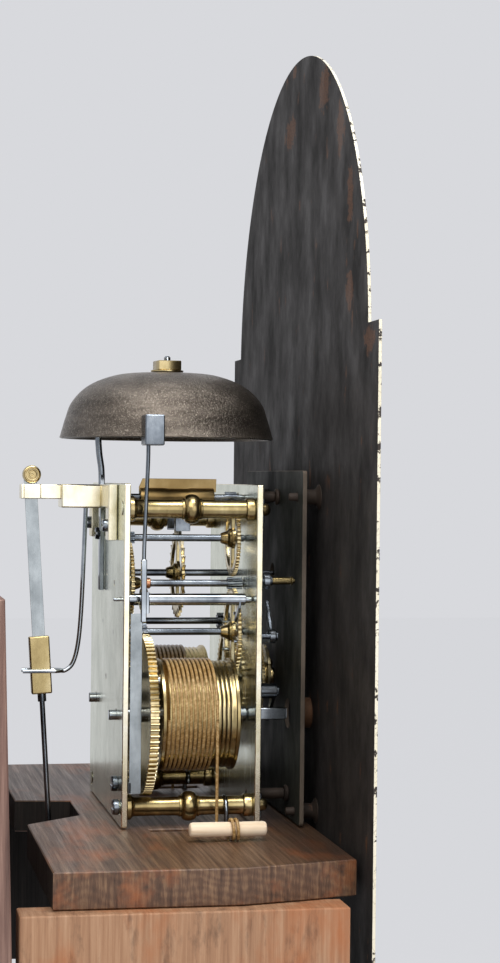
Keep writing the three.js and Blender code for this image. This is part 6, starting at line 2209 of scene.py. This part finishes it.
@dataclass
class BackCock:
    """The cast brass cock: a wing with two feet, a block and the slit tongue that holds the pendulum."""

    def body(self) -> Obj:
        """Cast and file the cock."""
        wing = [(-39, 132.2), (-38.6, 132), (-28.4, 132), (-28, 132.4), (-28, 147.5), (28, 147.5),
                (28, 132.4), (28.4, 132), (38.6, 132), (39, 132.4), (39, 158.3), (38.5, 158.3),
                (-38.5, 158.3), (-39, 158.3)]
        pieces = [sheet("wing", wing, 0.3, 4.5, edge=0.4)]
        for name, xs, ys, zs, edge in (("boss", (-8.5, 8.5), (4.2, 23.5), (146.8, 158.2), 0.7),
                                       ("cheek", (-1.15, -5), (33.3, 41.4), (151, 158), 0.35),
                                       ("cheek", (1.15, 5), (33.3, 41.4), (151, 158), 0.35),
                                       ("tongue", (-5, 5), (23.2, 33.4), (151, 158), 0.4),
                                       ("tip", (-5, 5), (41.2, 42.8), (151, 158), 0.35)):
            pieces.append(block(name, xs, ys, zs, edge))
        screws = [slotted("screw", (x, 139.0), 3.0, 6.8, 4.3, DARK_STEEL) for x in (-33.5, 33.5)]
        return joined("back_cock_cast", [*(dressed(piece, COCK_BRASS) for piece in pieces), *screws])

    def build(self) -> None:
        """Make the cock."""
        fitted(self.body(), "frame", COCK_BRASS, "back_cock")


@dataclass
class Pendulum:
    """The suspension clamp and spring, the brass block and the upper rod.

    Attributes:
        top: The spring's Y and Z where it leaves the cock.
        lean: The angle at which it hangs here, in degrees.
    """

    top: Flat = (37.4, 150.0)
    lean: float = 3.7

    def hung(self, piece: Obj) -> Obj:
        """Lean a piece about the spring's top."""
        return turned_about(piece, (0.0, *self.top), Axis.X, -self.lean)

    def clamp(self) -> Obj:
        """Turn the brass knob that rests on the tongue, with rings in its ends."""
        half = [(0.5, 2.2), (0.7, 2.9), (1.3, 2.9), (1.5, 2.1), (1.9, 2.1), (2.2, 3.1), (2.9, 3.2),
                (3.1, 2.7), (3.4, 2.7), (3.7, 3.3), (4.1, 3.1), (4.4, 2.5)]
        profile = [(0, -2.2), *[(r, -x) for r, x in half], *half[::-1], (0, 2.2)]
        return dressed(revolved("clamp", profile, (37.4, 162.7), Axis.X, 56), TURNED_BRASS)

    def spring(self) -> Obj:
        """Cut the thin suspension spring."""
        blade = block("spring", (-0.25, 0.25), (self.top[0] - 3.1, self.top[0] + 3.1), (76.2, 163.6), 0.1, 1)
        return dressed(self.hung(blade), SPRING_STEEL)

    def block(self) -> Obj:
        """File the block that the crutch embraces, with broken edges."""
        y = self.top[0]
        body = block("block", (-2.5, 2.5), (y - 5, y + 5), (56, 84), 0.7, 3)
        return dressed(self.hung(body), TURNED_BRASS)

    def rod(self) -> Obj:
        """Draw the rod's wire and bend its hook."""
        y = self.top[0]
        line = [(0, y, 57), (0, y, 20), (0, y, -40), (0, y, -86), (0, y + 0.4, -90), (0, y + 3, -95),
                (0, y + 1.6, -98.2), (0, y - 1.4, -98.6), (0, y - 3, -96.5)]
        collar = dressed(rod("collar", (0, y), [(52.2, 56.4, 2.1)], Axis.Z), DARK_STEEL)
        wire = dressed(tube("wire", smoothed(line, 5), 1.3, 14), DARK_STEEL)
        return self.hung(joined("rod", [wire, collar]))

    def build(self) -> None:
        """Hang the four pieces."""
        fitted(self.clamp(), "frame", TURNED_BRASS, "suspension_clamp")
        fitted(self.spring(), "pendulum", SPRING_STEEL, "suspension_spring")
        fitted(self.block(), "pendulum", COCK_BRASS, "pendulum_block")
        fitted(self.rod(), "pendulum", FORGED_IRON, "pendulum_rod")


@dataclass
class Escapement:
    """The pallets on their arbor, and the crutch with its fork.

    Attributes:
        tip: The Z of the pallets' tips.
    """

    tip: float = 134.5

    def pallets(self) -> Obj:
        """File the anchor and turn its arbor."""
        over = [(13.6 * t, 150 + 3.6 - 6.4 * t * t - (0.6 if abs(t) == 1 else 0))
                for t in (1 - i / 12 for i in range(25))]
        right = [(13.6, self.tip + 1.4), (11, self.tip + 2.2), (9.8, 140.5), (9.2, 144.6), (6.0, 146.4),
                 (2.6, 147)]
        under = [(-x, z) for x, z in right] + right[::-1]
        anchor = sheet("anchor", [*over, *under], -38.8, -31.4, [circle(*PALLETS, 1.75)], 0.3)
        hub = rod("hub", PALLETS, [(-29.6, -31.6, 3.4), (-38.6, -40.4, 3.4)], edge=0.3)
        steps = [(21.2, 17.2, 0.9), (17.2, FRONT_SHOULDER, 1.8), (FRONT_SHOULDER, PIVOT_END, 0.9)]
        shaft = rod("shaft", PALLETS, steps)
        parts = [dressed(anchor, DARK_STEEL), dressed(hub, TURNED_BRASS), dressed(shaft, DARK_STEEL)]
        return joined("pallets_filed", parts)

    def crutch(self) -> Obj:
        """Bend the crutch and rivet its two tines."""
        hub = rod("hub", PALLETS, [(13.0, 8.6, 3.4)], edge=0.4)
        line = [(0, 10.8, 147.4), (0, 11.6, 122), (0, 12.6, 96), (0, 14, 80), (0, 16.4, 71), (0, 20, 67.5),
                (0, 22.6, 67.4)]
        wire = tube("wire", smoothed(line, 5), 1.1)
        parts = [dressed(hub, TURNED_BRASS), dressed(wire, BRIGHT_STEEL)]
        for sign in (-1, 1):
            line = [(0, 21.4, 67.4), (sign * 2.2, 22.6, 67.4), (sign * 4, 24.8, 67.4), (sign * 4, 28, 67.4),
                    (sign * 4, 41, 67.4)]
            parts.append(dressed(tube("tine", smoothed(line, 4), 1.0), BRIGHT_STEEL))
        return joined("crutch_bent", parts)

    def build(self) -> None:
        """Make the pallets and the crutch."""
        fitted(self.pallets(), "pallets", BRIGHT_STEEL, "pallet_arbor")
        fitted(self.crutch(), "pallets", BRIGHT_STEEL, "crutch")


# Seatboard and case


@dataclass
class Seatboard:
    """The notched board under the movement, held to it by two hooks.

    Attributes:
        low: Its underside's Z.
        high: Its top's Z.
        hooked: The right hook's X, and both hooks' Y.
        bend: The radius of the hooks' bend over their pillars.
    """

    low: float = -16.0
    high: float = -0.4
    hooked: Flat = (60.35, -49.5)
    bend: float = 5.85

    def board(self) -> Obj:
        """Saw the board, with its slots and its holes."""
        outline = [(-163.8, 41.3), (-42, 41.3), (-18, 14), (27, 14), (31, 41.3), (163.8, 41.3),
                   (163.8, -89.8), (-150, -89.8), (-157, -66), (-163.8, -38)]
        holes = []
        for sign in (-1, 1):
            low, high = sorted((sign * 62.7, sign * 70.0))
            holes.append([(low, -57.5), (high, -57.5), (high, -13.0), (low, -13.0)])
            holes.append(circle(sign * 95.48, -44.0 if sign < 0 else -31.7, 2.8))
            holes.append(circle(sign * self.hooked[0], self.hooked[1], 1.5, 16))
        board = sheet("board", outline, self.low, self.high, holes, 0.5, Axis.Z)
        # The slot walls and rear edges get the near-black timber: painted shade, for the dark inside the
        # case.
        corner = at(163, 13, 0)
        return parted(board, SEAT_TIMBER, SHADED_INNER_TIMBER, lambda face: abs(face.normal.z) < 0.5
                      and face.center.y > corner.y and abs(face.center.x) < corner.x)

    def hook(self, sign: int) -> Obj:
        """Bend one hook over its pillar and screw its nut on below."""
        pillar = 8.8 if sign < 0 else 7.2
        x, y, top = sign * self.hooked[0], self.hooked[1], pillar - 2
        inner = sign * (self.hooked[0] - 2 * self.bend)
        middle = (x + inner) / 2
        line = [(x, y, -24.2), (x, y, top - 4), (x, y, top)]
        for a in (math.pi * i / 12 for i in range(1, 13)):
            line.append((middle + sign * self.bend * math.cos(a), y, top + self.bend * math.sin(a)))
        line.append((inner, y, pillar - 2.5))
        wire = dressed(tube("hook", line, 1.15, 14), BRIGHT_STEEL)
        rim = circle(x, y, 4.0, 6, math.pi / 6)
        nut = sheet("nut", rim, -19.3, -16.3, [circle(x, y, 1.3, 12)], 0.4, Axis.Z)
        return joined("hook_bent", [wire, dressed(nut, DARK_STEEL)])

    def build(self) -> None:
        """Make the board and both hooks."""
        fitted(self.board(), "frame", SEAT_TIMBER, "seatboard")
        for sign, side in ((-1, "left"), (1, "right")):
            fitted(self.hook(sign), "frame", BRIGHT_STEEL, f"{side}_seat_hook")


@dataclass
class Case:
    """The trunk's two cheeks and its backboard, cut off at the base."""

    def build(self) -> None:
        """Saw the three boards and wear their edges."""
        for sign, side in ((-1, "left"), (1, "right")):
            xs = sorted((sign * 153.0, sign * 171.8))
            board = block("cheek", xs, (55.4, -82.2), (-107.8, -16.4), 0.8, 3)
            # The cheeks' inner faces get the near-black timber: painted shade inside the case.
            parted(board, CHEEK_TIMBER, SHADED_INNER_TIMBER, lambda face, way=sign: face.normal.x * way < -0.9)
            fitted(board, "frame", CHEEK_TIMBER, f"{side}_cheek")
        outline = [(56.2, -107.8), (68.2, -107.8), (68.2, 111.8), (62.6, 111.8)]
        board = sheet("backboard_sawn", outline, -171.8, 171.8, edge=0.6, axis=Axis.X)
        fitted(dressed(board, BACK_TIMBER), "frame", BACK_TIMBER, "backboard")


# Studio and making


@dataclass(frozen=True)
class Softbox:
    """A large soft lamp that looks at the movement.

    Attributes:
        name: The lamp's name.
        place: Its centre, in metres.
        size: Its width and height in metres.
        power: Its power in watts.
        colour: Its hex colour.
    """

    name: str
    place: Point
    size: Flat
    power: float
    colour: str

    def hang(self) -> None:
        """Hang the lamp."""
        lamp = bpy.data.lights.new(self.name, "AREA")
        lamp.shape = "RECTANGLE"
        lamp.size, lamp.size_y = self.size
        lamp.energy = self.power
        lamp.color = hex_linear(self.colour)[:3]
        holder = bpy.data.objects.new(self.name, lamp)
        bpy.context.scene.collection.objects.link(holder)
        holder.location = self.place
        aim = Vector((0.0, -0.02, 0.19)) - holder.location
        holder.rotation_euler = aim.to_track_quat("-Z", "Y").to_euler()


@dataclass
class Studio:
    """A plain pale room with soft light.

    Attributes:
        backdrop: The colour that the camera sees behind the clock.
        lamps: The lamps.
    """

    backdrop: str = "#d8d9dd"
    lamps: tuple[Softbox, ...] = (
        Softbox("key", (-0.9, 0.36, 0.95), (0.8, 0.8), 6.4, "#fff8ee"),
        Softbox("front", (-1.25, -0.35, 0.3), (1.0, 1.0), 3.3, "#ffffff"),
        Softbox("top", (-0.46, -0.1, 1.15), (0.4, 0.4), 6.2, "#ffffff"),
    )

    def world(self) -> None:
        """Show the backdrop to the camera and a weaker, even light to everything else."""
        world = bpy.data.worlds.new("pale room")
        bpy.context.scene.world = world
        world.use_nodes = True
        tree = world.node_tree
        tree.nodes.clear()
        strength = add(tree, "ShaderNodeMapRange", {"Value": self.shown(tree), "To Min": 0.72, "To Max": 1.0})
        inputs = {"Color": hex_linear(self.backdrop), "Strength": strength}
        add(tree, "ShaderNodeOutputWorld", {"Surface": add(tree, "ShaderNodeBackground", inputs)})

    def shown(self, tree: Tree) -> Node:
        """Tell the rays that show the background from those that light things."""
        ray = add(tree, "ShaderNodeLightPath").outputs
        inputs = {0: ray["Is Camera Ray"], 1: ray["Is Glossy Ray"]}
        inputs = {0: add(tree, "ShaderNodeMath", inputs, operation="ADD"), 1: ray["Is Transmission Ray"]}
        return add(tree, "ShaderNodeMath", inputs, operation="ADD", use_clamp=True)

    def floor(self) -> Obj:
        """Lay the pale floor, which glows as the backdrop does but keeps its shadow."""
        half = 3.0
        mesh = bpy.data.meshes.new("floor")
        corners = [(-half, -half, 0), (half, -half, 0), (half, half, 0), (-half, half, 0)]
        mesh.from_pydata(corners, [], [(0, 1, 2, 3)])
        paint = bpy.data.materials.new("matt floor paint, rolled")
        paint.use_nodes = True
        tree = paint.node_tree
        tree.nodes.clear()
        colour = hex_linear(self.backdrop)
        matt = add(tree, "ShaderNodeBsdfPrincipled", {"Base Color": colour, "Roughness": 0.9})
        glow = add(tree, "ShaderNodeEmission", {"Color": colour, "Strength": 1.0})
        share = add(tree, "ShaderNodeMath", {0: self.shown(tree), 1: 0.95}, operation="MULTIPLY")
        both = add(tree, "ShaderNodeMixShader", {0: share, 1: matt, 2: glow})
        add(tree, "ShaderNodeOutputMaterial", {"Surface": both})
        mesh.materials.append(paint)
        return from_mesh("studio_floor", mesh)

    def build(self) -> None:
        """Set the light, the floor and how the picture is shown."""
        self.world()
        for lamp in self.lamps:
            lamp.hang()
        self.floor()
        bpy.context.scene.view_settings.view_transform = "Standard"


def main() -> None:
    """Build every sub-assembly in order and light it."""
    PhotoCamera().set_up()
    GutLine(Side.STRIKE, 11).build()
    GutLine(Side.GOING, 11).build()
    for part in (Plates(), FalsePlate(), Dial(), Trains(), Escapement(), MotionWork(), StrikingWork(),
                 Hammer(), Bell(), BackCock(), Pendulum(), Seatboard(), Case(), Studio()):
        part.build()
        LOG.info("made %s", type(part).__name__)
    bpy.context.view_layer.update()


if __name__ == "__main__":
    main()
